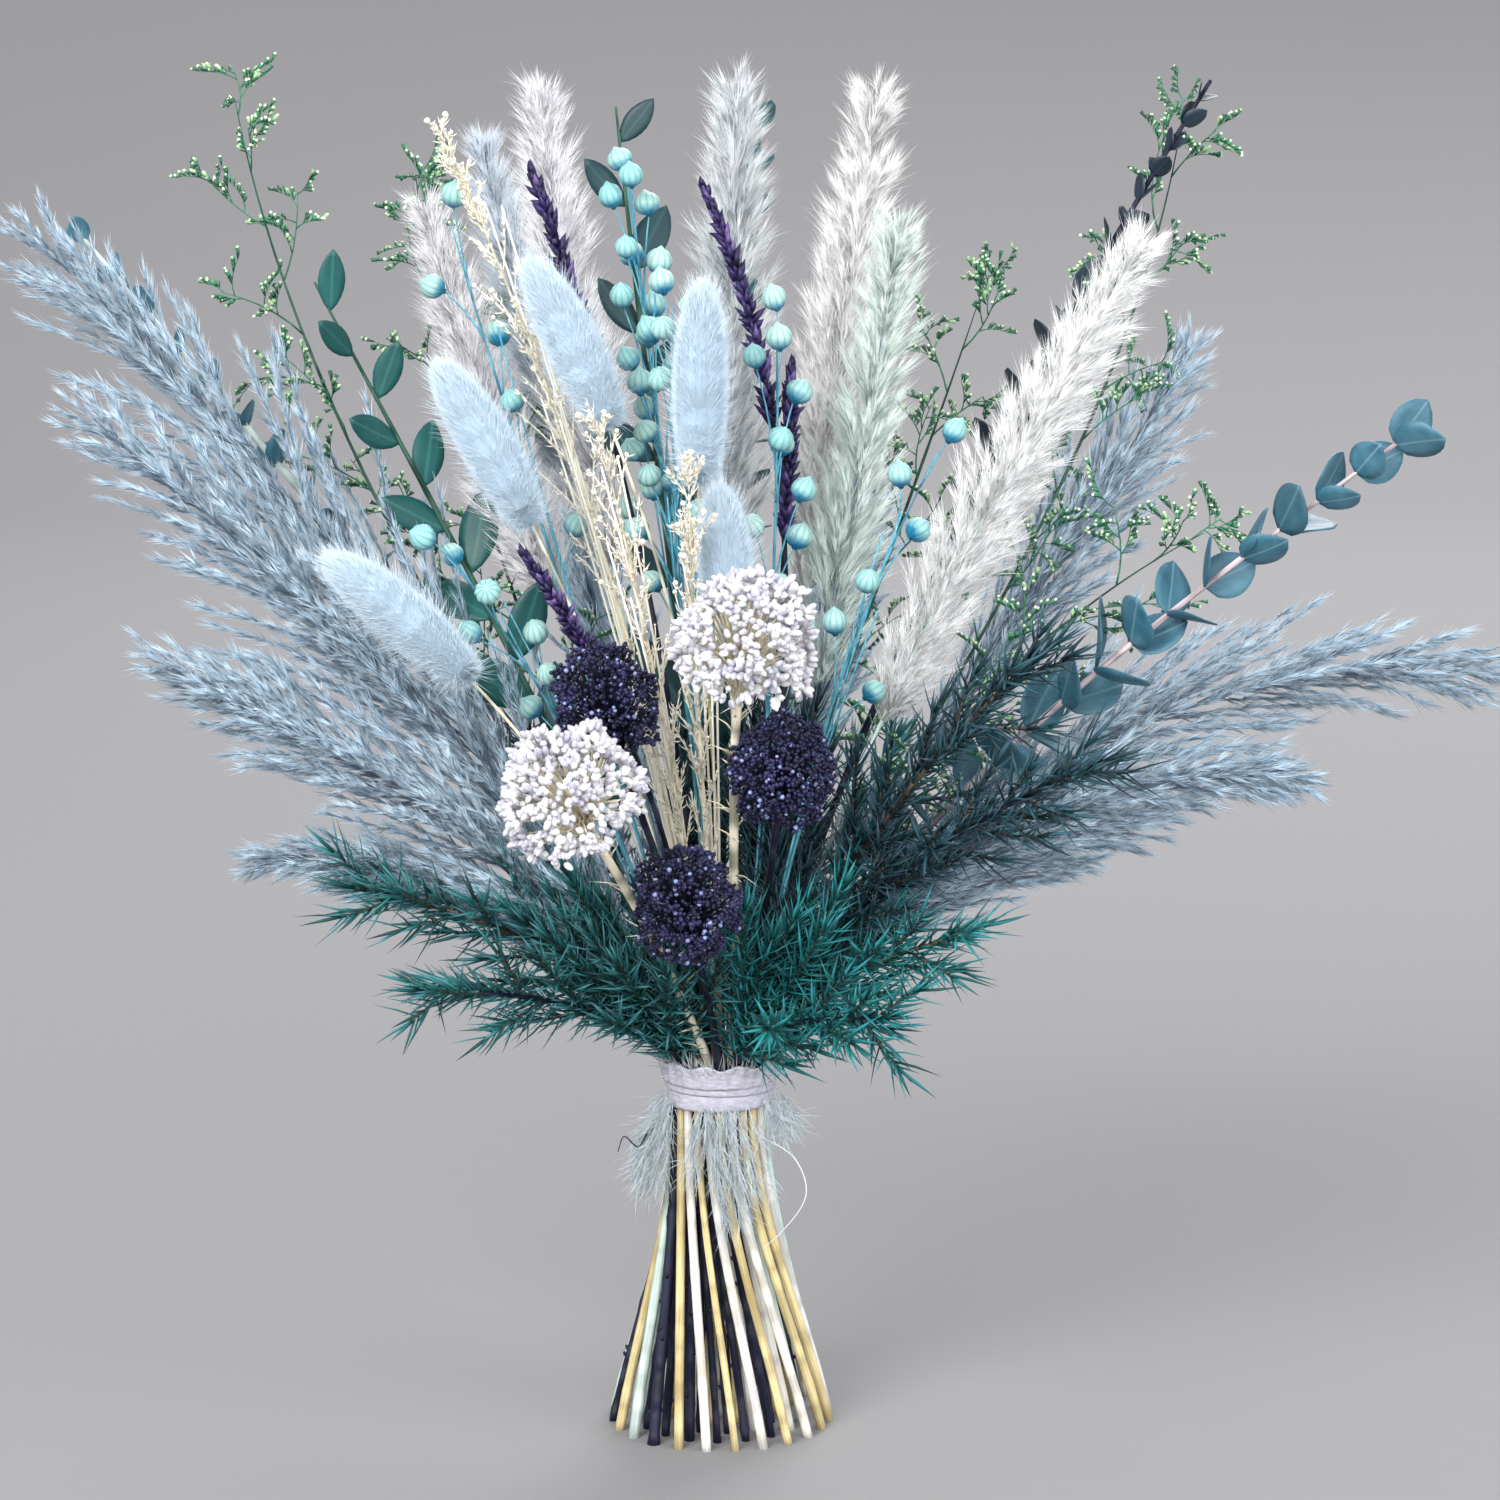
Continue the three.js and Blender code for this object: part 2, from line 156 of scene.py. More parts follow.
def strew(pattern, at, along, across, length, width, bow=0.0, tone=0.5, depth=1.0, flat=1.0):
    """Many copies of a pattern that stands one unit tall on its root. Each is laid along its
    own direction, sized, and bowed towards the side that across gives. The bouquet has several
    hundred thousand hairs and needles, so copies are laid out as arrays, not one by one."""
    base = batch(pattern)
    count, p = len(at), base["points"]
    one_each = lambda value: np.broadcast_to(np.asarray(value, dtype=float), count)
    length, width, bow = (one_each(value)[:, None, None] for value in (length, width, bow))
    along = units(along)
    across = units(across - (across * along).sum(axis=1, keepdims=True) * along)
    third = np.cross(along, across)
    px, py, pz = p[None, :, 0:1], p[None, :, 1:2], p[None, :, 2:3]
    points = at[:, None] + across[:, None] * (width * px + length * bow * pz**2)
    points = points + third[:, None] * (width * flat * py) + along[:, None] * (length * pz)
    return {
        "points": points.reshape(-1, 3),
        "corners": (base["corners"][None] + np.arange(count)[:, None] * len(p)).ravel(),
        "sizes": np.tile(base["sizes"], count),
        "tone": np.repeat(one_each(tone), len(p)),
        "depth": np.repeat(one_each(depth), len(p)),
        "along": np.tile(p[:, 2], count),
        "across": np.tile(p[:, 1] if base["mark"] is None else base["mark"], count),
    }


def piece(name, batches, material, node):
    """Joins batches into one finished object that stands for a CAD node."""
    batches = [batch(b) if isinstance(b, bmesh.types.BMesh) else b for b in batches]
    before = np.cumsum([0] + [len(b["points"]) for b in batches[:-1]])
    points = np.concatenate([b["points"] for b in batches])
    corners = np.concatenate([b["corners"] + n for b, n in zip(batches, before)])
    sizes = np.concatenate([b["sizes"] for b in batches])
    mesh = bpy.data.meshes.new(name)
    mesh.vertices.add(len(points))
    mesh.vertices.foreach_set("co", points.astype(np.float32).ravel())
    mesh.loops.add(len(corners))
    mesh.loops.foreach_set("vertex_index", corners.astype(np.int32))
    mesh.polygons.add(len(sizes))
    mesh.polygons.foreach_set("loop_start", (np.cumsum(sizes) - sizes).astype(np.int32))
    mesh.polygons.foreach_set("use_smooth", np.full(len(sizes), True))
    for key, blank in (("tone", 0.5), ("depth", 1.0), ("along", 0.5), ("across", 0.0)):
        if any(key in b for b in batches):
            row = [b.get(key, np.full(len(b["points"]), blank)) for b in batches]
            layer = mesh.attributes.new(key, "FLOAT", "POINT")
            layer.data.foreach_set("value", np.concatenate(row).astype(np.float32))
    grains = [b["points"] if b.get("grain") is None else b["grain"] for b in batches]
    layer = mesh.attributes.new("grain", "FLOAT_VECTOR", "POINT")
    layer.data.foreach_set("vector", np.concatenate(grains).astype(np.float32).ravel())
    mesh.update(calc_edges=True)
    mesh.validate()
    mesh.materials.append(material)
    made = bpy.data.objects.new(name, mesh)
    bpy.context.scene.collection.objects.link(made)
    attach(made, "root")
    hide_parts(node)


def any_way(random, count):
    """Random directions, all equally likely."""
    return units(random.normal(size=(count, 3)))


def turned(ways, sides, lean, round_by):
    """Directions tipped away from ways by the angle lean, towards the side at round_by."""
    sides = units(sides - (sides * ways).sum(axis=1, keepdims=True) * ways)
    out = np.cos(round_by)[:, None] * sides + np.sin(round_by)[:, None] * np.cross(ways, sides)
    return units(np.cos(lean)[:, None] * ways + np.sin(lean)[:, None] * out), out


def along_path(line, ways, share):
    """The point and heading at a share of a line's length."""
    place = np.clip(share, 0, 1) * (len(line) - 1)
    low = np.minimum(place.astype(int), len(line) - 2)
    part = (place - low)[:, None]
    heading = units(ways[low] * (1 - part) + ways[low + 1] * part)
    return line[low] * (1 - part) + line[low + 1] * part, heading


def leaving(line, ways, share, lean, round_by):
    """Where shoots leave a stalk: their roots, the stalk's heading there, the shoots' own
    heading, and the side that they leave by."""
    at, heading = along_path(line, ways, share)
    return at, heading, *turned(heading, sides_of(ways)[0], lean, round_by)


def wire(tree, kind, inputs=None, **settings):
    """Adds a shader node, sets it up, and feeds its sockets with values or other sockets."""
    made = tree.nodes.new(kind)
    for key, value in settings.items():
        setattr(made, key, value)
    for key, value in (inputs or {}).items():
        if isinstance(value, bpy.types.NodeSocket):
            tree.links.new(value, made.inputs[key])
        else:
            made.inputs[key].default_value = value
    return made


def effect(name, colours, numbers=()):
    """A shader node group with these inputs, which puts out a colour, a roughness, a height."""
    tree = bpy.data.node_groups.new(name, "ShaderNodeTree")
    for label in colours:
        tree.interface.new_socket(label, in_out="INPUT", socket_type="NodeSocketColor")
    for label in numbers:
        tree.interface.new_socket(label, in_out="INPUT", socket_type="NodeSocketFloat")
    tree.interface.new_socket("Color", in_out="OUTPUT", socket_type="NodeSocketColor")
    for label in ("Roughness", "Height"):
        tree.interface.new_socket(label, in_out="OUTPUT", socket_type="NodeSocketFloat")
    return tree, tree.nodes.new("NodeGroupInput").outputs


def give(tree, colour, roughness, height):
    """Sends a group's three results out of it."""
    wire(tree, "NodeGroupOutput", {"Color": colour, "Roughness": roughness, "Height": height})


def read(tree, *names):
    """Values that every point of a mesh carries."""
    return [wire(tree, "ShaderNodeAttribute", attribute_name=name).outputs["Fac"] for name in names]


def noise(tree, scale, detail, vector=None, roughness=0.5):
    """Cloudy noise in the object's own space, or in another one."""
    if vector is None:
        vector = wire(tree, "ShaderNodeTexCoord").outputs["Object"]
    return wire(tree, "ShaderNodeTexNoise", {"Vector": vector, "Scale": scale, "Detail": detail,
                                             "Roughness": roughness}).outputs["Fac"]


def ramp(tree, value, nought, one):
    """A value stretched so that it runs from nought to one between two marks."""
    marks = {"Value": value, "From Min": nought, "From Max": one}
    return wire(tree, "ShaderNodeMapRange", marks).outputs[0]


def mixed(tree, amount, dark, light):
    """The colour between two, by amount."""
    return wire(tree, "ShaderNodeMix", {0: amount, 6: dark, 7: light}, data_type="RGBA").outputs[2]


def lit(tree, colour, value):
    """A colour made lighter or darker."""
    return wire(tree, "ShaderNodeHueSaturation", {"Color": colour, "Value": value}).outputs[0]


def sums(tree, operation, *values):
    """A math node's result."""
    return wire(tree, "ShaderNodeMath", dict(enumerate(values)), operation=operation).outputs[0]


def scaled(tree, value, by, plus=0.0):
    """A value times another, plus a third."""
    return sums(tree, "MULTIPLY_ADD", value, by, plus)


def paint(r, g, b):
    """A colour given in display values, as the shader wants it."""
    straight = [((c + 0.055) / 1.055) ** 2.4 if c > 0.04045 else c / 12.92 for c in (r, g, b)]
    return (*straight, 1.0)


def finish(name, group, values, bump=None, fixed=None):
    """A material: one effect group into a Principled shader. The values are for the group's
    inputs, in their order; bump is a strength and a height in mm; fixed is for the shader."""
    made = bpy.data.materials.new(name)
    made.use_nodes = True
    tree = made.node_tree
    shader = tree.nodes["Principled BSDF"]
    look = wire(tree, "ShaderNodeGroup", node_tree=group)
    for socket, value in zip(look.inputs, values):
        socket.default_value = paint(*value) if isinstance(value, tuple) else value
    tree.links.new(look.outputs["Color"], shader.inputs["Base Color"])
    tree.links.new(look.outputs["Roughness"], shader.inputs["Roughness"])
    if bump:
        relief = wire(tree, "ShaderNodeBump", {"Height": look.outputs["Height"],
                                               "Strength": bump[0], "Distance": bump[1] * MM})
        tree.links.new(relief.outputs["Normal"], shader.inputs["Normal"])
    for key, value in (fixed or {}).items():
        shader.inputs[key].default_value = value
    return made


# long streaks that run with the stalk, and stains in bigger patches
stalk, given = effect("stalk_grain", ["Bark", "Streak", "Stain"], ["Stained"])
grain = wire(stalk, "ShaderNodeAttribute", attribute_name="grain").outputs["Vector"]
drawn = wire(stalk, "ShaderNodeMapping", {"Vector": grain, "Scale": (1600, 1600, 60)}).outputs[0]
streaks = noise(stalk, 1.0, 3.0, drawn, roughness=0.6)
stains = ramp(stalk, noise(stalk, 45.0, 4.0), 0.45, 0.7)
body = mixed(stalk, ramp(stalk, streaks, 0.35, 0.65), given["Bark"], given["Streak"])
stained = scaled(stalk, stains, given["Stained"])
give(stalk, mixed(stalk, stained, body, given["Stain"]),
     scaled(stalk, streaks, 0.3, 0.45), streaks)


def stalk_finish(name, *values):
    """A stalk's material, from its bark, streak and stain colours and how stained it is."""
    return finish(name, stalk, values, bump=(0.6, 0.25), fixed={"Specular IOR Level": 0.4})


straw = stalk_finish("straw", (0.76, 0.68, 0.46), (0.91, 0.85, 0.66), (0.62, 0.50, 0.30), 0.55)
bleached = stalk_finish("bleached", (0.80, 0.79, 0.75), (0.95, 0.945, 0.93), (0.76, 0.69, 0.54), 0.45)
ink = stalk_finish("ink", (0.045, 0.05, 0.12), (0.14, 0.15, 0.27), (0.03, 0.09, 0.10), 0.7)
pale_mint = stalk_finish("pale_mint", (0.70, 0.79, 0.76), (0.88, 0.93, 0.90), (0.50, 0.60, 0.50), 0.4)
turquoise = stalk_finish("turquoise", (0.22, 0.55, 0.66), (0.50, 0.80, 0.86), (0.10, 0.32, 0.42), 0.4)
moss = stalk_finish("moss", (0.10, 0.25, 0.20), (0.23, 0.40, 0.32), (0.06, 0.13, 0.12), 0.6)
ivory = stalk_finish("ivory", (0.88, 0.84, 0.72), (0.98, 0.96, 0.88), (0.78, 0.69, 0.50), 0.3)
steel = stalk_finish("steel", (0.45, 0.55, 0.64), (0.70, 0.78, 0.84), (0.32, 0.40, 0.48), 0.4)
rosy = stalk_finish("rosy", (0.74, 0.64, 0.66), (0.92, 0.86, 0.86), (0.50, 0.42, 0.44), 0.4)
bark = stalk_finish("bark", (0.24, 0.20, 0.18), (0.46, 0.38, 0.31), (0.06, 0.12, 0.14), 0.8)

# what each kind of plant's stalk is, in turn, and how much of its thickness is left where
# the head begins and at the head's tip
STALKS = {
    "pampas_plume": ([steel], 0.60, 0.15),
    "reed_plume": ([pale_mint, bleached, steel], 0.45, 0.15),
    "bunny_tail": ([ivory, ivory, straw], 0.45, 0.35),
    "flax": ([turquoise], 0.45, 0.2),
    "lavender": ([ink], 0.70, 0.3),
    "navy_cluster": ([ink], 0.85, 0.4),
    "rice_flower": ([ivory], 1.0, 0.3),
    "bleached_spray": ([ivory], 0.50, 0.2),
    "needle_foliage": ([bark, ink], 0.80, 0.3),
    "eucalyptus": ([rosy, ink, moss, pale_mint], 0.75, 0.45),
    "sea_lavender": ([moss], 0.45, 0.12),
    "ruscus": ([moss], 0.70, 0.3),
}
# the cut ends under the tie: most are undyed, so their colours are their own
LEGS = [straw, ink, bleached, ink, straw, bleached, ink, pale_mint]
FRONT_LEGS = {
    "sea_lavender_1": ink, "eucalyptus_4": straw, "pampas_plume_4": pale_mint,
    "pampas_plume_3": ink, "ruscus_1": ink, "needle_foliage_1": straw, "pampas_plume_2": ink,
    "needle_foliage_2": bleached, "flax_4": ink, "bunny_tail_5": straw, "lavender_3": ink,
    "rice_flower_1": bleached, "navy_cluster_1": ink, "navy_cluster_3": straw,
    "rice_flower_2": bleached, "needle_foliage_6": bleached, "needle_foliage_5": straw,
    "needle_foliage_4": straw, "needle_foliage_3": bleached,
}
LEG_STEPS = 30
STEM_STEP = 4 * MM
JOINT_GAP = 34 * MM      # between the swollen joints of a stalk
DYED_JOINT_GAP = 17 * MM
JOINT = 1.6 * MM         # how far a swelling reaches along the stalk
SLIMMED = 0.35           # the share of the way from tie to head by which a stalk is slim
LEAFY = ("eucalyptus", "sea_lavender", "ruscus")     # their stalks reach the last leaf
SCARS = 9                # leaf scars left on each dark leg
SCAR = 1.3 * MM
scar = cone(5, 0.5, 0.3)


def swell(run, gap, shift, much):
    """How much thicker a stalk is at its joints."""
    off = (run + shift) % gap - gap / 2
    return 1 + much * np.exp(-((off / JOINT) ** 2))


plants = {name: plant(name) for name in sorted(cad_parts) if name != "tie"}
counted = {}
for index, (node, (way, width)) in enumerate(plants.items()):
    kind = node.rsplit("_", 1)[0]
    materials, at_neck, at_tip = STALKS[kind]
    turn = counted[kind] = counted.get(kind, -1) + 1
    tied = (way[1] + way[2]) / 2
    shift = (index * 13 * MM) % JOINT_GAP

    line, ways = flow(np.array([way[0], way[1], tied]), LEG_STEPS)
    ways[0] = UP
    run = np.linspace(0, np.linalg.norm(tied - way[0]), LEG_STEPS)
    dye = FRONT_LEGS.get(node, LEGS[index % len(LEGS)])
    gap, much = (DYED_JOINT_GAP, 0.26) if dye is ink else (JOINT_GAP, 0.10)
    thick = width[0] * np.interp(run / run[-1], [0, 1], [1.10, 1.0])
    leg = rod(line, ways, thick * swell(run, gap, shift, much), sides=10)
    parts = [leg]
    if dye is ink:
        random = np.random.default_rng(300 + index)
        at, heading = along_path(line, ways, random.uniform(0.05, 0.85, SCARS))
        out, radial = turned(heading, any_way(random, SCARS), np.full(SCARS, 0.7),
                             random.uniform(0, ROUND, SCARS))
        parts.append(strew(scar, at + radial * width[0], out, heading, SCAR, SCAR,
                           tone=random.random(SCARS)))
    piece(f"{node}_leg", parts, dye, node)
    leg.free()

    steps = int(np.linalg.norm(np.diff(way[2:], axis=0), axis=1).sum() / STEM_STEP)
    last = 0.995 if kind in LEAFY else 0.97
    line, ways = flow(np.concatenate([[tied], way[2:]]), steps, last=last)
    share = np.linspace(0, 1, steps)
    neck = np.argmin(np.linalg.norm(line - way[NECK - 1], axis=1)) / steps
    left = [1.0, at_neck * 1.05, at_neck, at_tip]
    thick = width[0] * np.interp(share, [0, SLIMMED * neck, neck, 1], left)
    stem = rod(line, ways, thick * swell(share * steps * STEM_STEP, JOINT_GAP, shift, 0.12))
    piece(f"{node}_stem", [stem], materials[turn % len(materials)], node)
    stem.free()

# ------------------------------------------------------------
# The pampas plumes. Dyed grey-blue panicles: thin side branches leave the stalk at a narrow
# angle, and each carries spikelets, small tufts of silky hair. The white and mint reed
# plumes are built alike, with shorter branches and softer, denser hair.
hair = cone(3, 1.0, 0.0, [0.5], 1.5)
spike = cone(3, 1.0, 0.0)
SPIRAL = 2.4      # radians from one shoot to the next, so that they never line up in rows


def spiral(random, count, loose):
    """Bearings that wind round a stalk, a little unevenly."""
    return np.arange(count) * SPIRAL + random.normal(0, loose, count)


def every(kind, seed, low, count):
    """Each plant of a kind in turn: its number, its node, its own random draws, and its smooth
    line from the CAD body's ring low upwards, with the way it heads."""
    for number in range(1, 1 + sum(node.rsplit("_", 1)[0] == kind for node in plants)):
        node = f"{kind}_{number}"
        line, ways = flow(plants[node][0][low:], count)
        yield number, node, np.random.default_rng(seed + number), line, ways


def plume_hair(random, node, line, ways, branches, reach, lean, bow, tuft_gap, hair_length, hairs,
               splay, thick, lowest=-0.10, spread=9):
    """The branches and tufts of one plume, as two batches."""
    begins = np.argmin(np.linalg.norm(line - plants[node][0][NECK - 1], axis=1)) / (len(line) - 1)
    head = np.linalg.norm(np.diff(line, axis=0), axis=1).sum() * (1 - begins)
    share = lowest + (0.97 - lowest) * np.sort(random.random(branches) ** 0.9)
    angle = spiral(random, branches, 0.3)
    tilt = np.radians(lean) * random.uniform(0.75, 1.2, branches)
    at, heading, out, side = leaving(line, ways, begins + (1 - begins) * share, tilt, angle)
    room = np.clip(1 - share, 0, 1)
    length = head * (reach * room ** 0.7 + 0.05) * random.uniform(0.8, 1.12, branches)
    length = np.minimum(length, head * room * 0.9 + 0.07 * head)
    length = length * np.interp(share, [lowest, 0.05], [0.55, 1.0])
    droop = units(side * 0.6 - UP * 0.9)
    sag = bow * random.uniform(0.5, 1.4, branches)
    # the branches sit deep in the plume, so at depth 0.3 they take part of the painted shade
    twigs = strew(hair, at, out, droop, length, thick * 1.6, sag, tone=0.35, depth=0.3)

    # tufts along every branch, closer to each other at its end
    number = np.maximum((length / tuft_gap).astype(int), 3)
    owner = np.repeat(np.arange(branches), number)
    spot = np.concatenate([(np.arange(n) + random.random(n)) / n for n in number])
    spot = 0.10 + 0.90 * spot ** 0.9
    level = units(droop[owner] - (droop[owner] * out[owner]).sum(1, keepdims=True) * out[owner])
    root = at[owner] + out[owner] * (length[owner] * spot)[:, None]
    root = root + level * (length[owner] * sag[owner] * spot ** 2)[:, None]
    heading = units(out[owner] + level * (2 * sag[owner] * spot)[:, None])
    opening = np.radians(splay) * random.uniform(0.3, 1.2, len(owner)) * (1.1 - 0.5 * spot)
    tuft, _ = turned(heading, level, opening, random.uniform(0, 2 * math.pi, len(owner)))
    # tufts further out on the outer branches get less of the painted shade at the plume's heart
    outer = spot * np.clip(np.sin(tilt[owner]) / np.sin(np.radians(lean)), 0, 1)
    tone = random.random(len(owner))

    # hairs of a tuft fan out of one point
    of = np.repeat(np.arange(len(owner)), hairs)
    fan = np.radians(spread) * np.abs(random.normal(0, 1, len(of)))
    way_out, _ = turned(tuft[of], any_way(random, len(of)), fan,
                        random.uniform(0, 2 * math.pi, len(of)))
    longs = hair_length * random.uniform(0.6, 1.2, len(of))
    longs = longs * np.interp(share[owner][of], [0, 0.7, 1.0], [1, 1, 0.75])
    start = root[of] - tuft[of] * (hair_length * 0.25 * random.random(len(of)))[:, None]
    fluff = strew(spike, start, way_out, any_way(random, len(of)), longs,
                  thick * random.uniform(0.7, 1.2, len(of)),
                  tone=np.clip(tone[of] + random.normal(0, 0.10, len(of)), 0, 1),
                  depth=outer[of])
    return [twigs, fluff]


# dyed fibre: darker towards the heart of the head as painted shade, lighter outside, palest at the end of
# each hair
dye_and_shade, given = effect("dyed_fibre_painted_shade", ["Heart", "Body", "Tip"], ["Patches", "Contrast"])
tone, depth, along = read(dye_and_shade, "tone", "depth", "along")
cloud = scaled(dye_and_shade, noise(dye_and_shade, given["Patches"], 3.0), 1.6, -0.55)
# where depth is low, towards the heart of the head, the first colour is mixed in as painted shade
inside = scaled(dye_and_shade, depth, 0.8, scaled(dye_and_shade, cloud, 0.45))
base = mixed(dye_and_shade, ramp(dye_and_shade, inside, 0.05, 0.7), given["Heart"], given["Body"])
fair = scaled(dye_and_shade, sums(dye_and_shade, "POWER", along, 1.3), scaled(dye_and_shade, tone, 0.7, 0.3))
swing = scaled(dye_and_shade, sums(dye_and_shade, "SUBTRACT", tone, 0.5), given["Contrast"], 1.0)
give(dye_and_shade, lit(dye_and_shade, mixed(dye_and_shade, fair, base, given["Tip"]), swing),
     scaled(dye_and_shade, tone, 0.25, 0.55), cloud)


def fibre_finish(name, painted_shade, body, tip, patches=30.0, contrast=0.5, sheen=0.3):
    """A dyed fibre's material: its painted shade colour for the heart of the head, its body and tip
    colours, the size of its patches, how its hairs differ.
    """
    return finish(name, dye_and_shade, (painted_shade, body, tip, patches, contrast), fixed={"Sheen Weight": sheen})


# the first colour is the painted shade at the heart of the plume
storm_blue = fibre_finish("storm_blue", (0.30, 0.42, 0.52), (0.56, 0.68, 0.765), (0.85, 0.905, 0.94),
                          contrast=0.6)
for _, node, random, line, ways in every("pampas_plume", 0, 2, 140):
    parts = plume_hair(random, node, line, ways, branches=109, reach=0.37, lean=18, bow=0.10,
                       tuft_gap=2.3 * MM, hair_length=8.0 * MM, hairs=9, splay=26,
                       thick=0.21 * MM, lowest=-0.35)
    piece(f"{node}_hair", parts, storm_blue, node)

# painted shade at the heart, then body and tip colours of each white plume's dye, and how loose its hair is
REEDS = {
    1: ((0.80, 0.80, 0.83), (0.92, 0.915, 0.93), (0.99, 0.99, 0.99), 15),
    2: ((0.76, 0.75, 0.77), (0.89, 0.88, 0.89), (0.98, 0.975, 0.98), 15),
    3: ((0.58, 0.65, 0.72), (0.78, 0.83, 0.88), (0.94, 0.965, 0.98), 12),
    4: ((0.68, 0.71, 0.74), (0.84, 0.86, 0.87), (0.97, 0.975, 0.98), 12),
    5: ((0.82, 0.81, 0.80), (0.93, 0.925, 0.915), (0.99, 0.99, 0.985), 15),
    6: ((0.68, 0.76, 0.73), (0.84, 0.90, 0.87), (0.96, 0.985, 0.97), 9),
    7: ((0.91, 0.91, 0.91), (0.985, 0.985, 0.98), (1.0, 1.0, 1.0), 13),
}
for number, node, random, line, ways in every("reed_plume", 20, 2, 140):
    *colours, loose = REEDS[number]
    soft = fibre_finish(f"reed_white_{number}", *colours, contrast=0.14)
    parts = plume_hair(random, node, line, ways, branches=211, reach=0.115, lean=31, bow=0.04,
                       tuft_gap=2.4 * MM, hair_length=10.5 * MM, hairs=11, splay=18,
                       thick=0.125 * MM, spread=loose)
    piece(f"{node}_hair", parts, soft, node)

# ------------------------------------------------------------
# The bunny tails. Soft oval seed heads of a small grass, dyed pale blue: a solid core thick
# with short fine hairs, which stand out at the foot of the head and close up at its tip.
baby_blue = fibre_finish("baby_blue", (0.70, 0.81, 0.91), (0.77, 0.87, 0.94), (0.93, 0.965, 0.985),
                         contrast=0.04, sheen=0.5)
GOLDEN_TURN = math.radians(137.508)      # hairs turned by this are evenly spaced all round
TAIL_HAIRS = 8400
LONG_HAIRS = 1000
TAIL_HAIR = 4.2 * MM
for _, node, random, line, ways in every("bunny_tail", 40, NECK - 1, 24):
    run = np.linspace(0, 1, len(line))
    oval = np.sqrt(np.clip(1 - (1.9 * run - 0.92) ** 2 / 0.97, 0.004, 1))
    full = plants[node][1][NECK:].max() * 0.68 * oval
    core = rod(line, ways, full, sides=12)
    share = (np.arange(TAIL_HAIRS) + random.random(TAIL_HAIRS)) / TAIL_HAIRS
    lean = np.radians(np.interp(share, [0, 0.06, 0.16, 0.8, 1], [88, 64, 44, 26, 8]))
    lean = lean + np.radians(random.normal(0, 2.5, TAIL_HAIRS))
    bearings = np.arange(TAIL_HAIRS) * GOLDEN_TURN
    at, heading, out, outward = leaving(line, ways, share, lean, bearings)
    root = at + outward * (np.interp(share, run, full) * 0.97)[:, None]
    long = TAIL_HAIR * random.uniform(0.85, 1.1, TAIL_HAIRS)
    fuzz = strew(spike, root, out, any_way(random, TAIL_HAIRS), long, 0.10 * MM,
                 tone=random.random(TAIL_HAIRS), depth=random.uniform(0.7, 1.0, TAIL_HAIRS))
    some = random.choice(TAIL_HAIRS, LONG_HAIRS, replace=False)
    wider = lean[some] * random.uniform(1.1, 1.8, LONG_HAIRS)
    out, _ = turned(heading[some], outward[some], wider, random.normal(0, 0.2, LONG_HAIRS))
    awns = strew(spike, root[some], out, any_way(random, LONG_HAIRS),
                 random.uniform(6.0, 9.5, LONG_HAIRS) * MM, 0.09 * MM, tone=1.0)
    piece(f"{node}_fur", [core, fuzz, awns], baby_blue, node)
    core.free()

# ------------------------------------------------------------
# The flax. Round ribbed seed pods, dyed aqua, each with a short beak and five sepals, at the
# ends of thin wiry stalks that branch off one bundle of turquoise stems.
RIBS = 10
pod = bmesh.new()
rib = pod.verts.layers.float.new("mark")
bmesh.ops.create_uvsphere(pod, u_segments=2 * RIBS, v_segments=9, radius=0.5)
bmesh.ops.translate(pod, verts=pod.verts, vec=(0, 0, 0.5))
for corner in pod.verts:
    if 0.01 < corner.co.z < 0.99:
        crest = math.cos(RIBS * math.atan2(corner.co.y, corner.co.x))
        corner.co.xy *= 1 + 0.05 * crest
        corner[rib] = crest
beak = max(pod.verts, key=lambda v: v.co.z)
beak.co.z += 0.13
twig = cone(5, 1.0, 0.6, (0.2, 0.4, 0.6, 0.8))


def reach(start, heading, goal, stiff):
    """How a bowed copy has to be laid from start, leaving by its heading, to end at goal."""
    gap = goal - start
    out = units(stiff * units(heading) + units(gap))
    length = (gap * out).sum(axis=1)
    rest = gap - out * length[:, None]
    return out, units(rest), length, np.linalg.norm(rest, axis=1) / length


def on_twig(start, out, side, length, bow, share):
    """A point on such a bowed copy, and the way the copy heads there."""
    side = units(side - (side * out).sum(axis=1, keepdims=True) * out)
    spot = start + out * (length * share)[:, None] + side * (length * bow * share ** 2)[:, None]
    return spot, units(out + side * (2 * bow * share)[:, None])


def grown(start, heading, goal, stiff, thick, tone=0.5):
    """Twigs that bow from start to goal, their tips, and the way they head there."""
    out, side, length, bow = reach(start, heading, goal, stiff)
    twigs = strew(twig, start, out, side, length, thick, bow, tone=tone)
    return twigs, *on_twig(start, out, side, length, bow, 1.0)


def beside(random, line, ways, least, most, count, away):
    """Points that stand off a line to any side."""
    spots, _ = along_path(line, ways, random.uniform(least, most, count))
    return spots + units(any_way(random, count) * [1, 1, 0.2]) * away


# a speckled bloom: two shades in patches, and a few copies in a third colour
speckled, given = effect("speckled_bloom", ["Shade", "Body", "Speck"], ["Specked"])
tone, = read(speckled, "tone")
patches = ramp(speckled, noise(speckled, 160.0, 3.0), 0.35, 0.65)
fine = noise(speckled, 900.0, 2.0)
body = mixed(speckled, patches, given["Shade"], given["Body"])
body = mixed(speckled, sums(speckled, "GREATER_THAN", given["Specked"], tone), body, given["Speck"])
give(speckled, lit(speckled, body, scaled(speckled, fine, 0.7, 0.65)),
     scaled(speckled, fine, 0.4, 0.35), fine)


def bloom_finish(name, *values, bump=(0.3, 0.3)):
    """A bloom's material, from its shade, body and speck colours and how many are specked."""
    return finish(name, speckled, values, bump=bump)
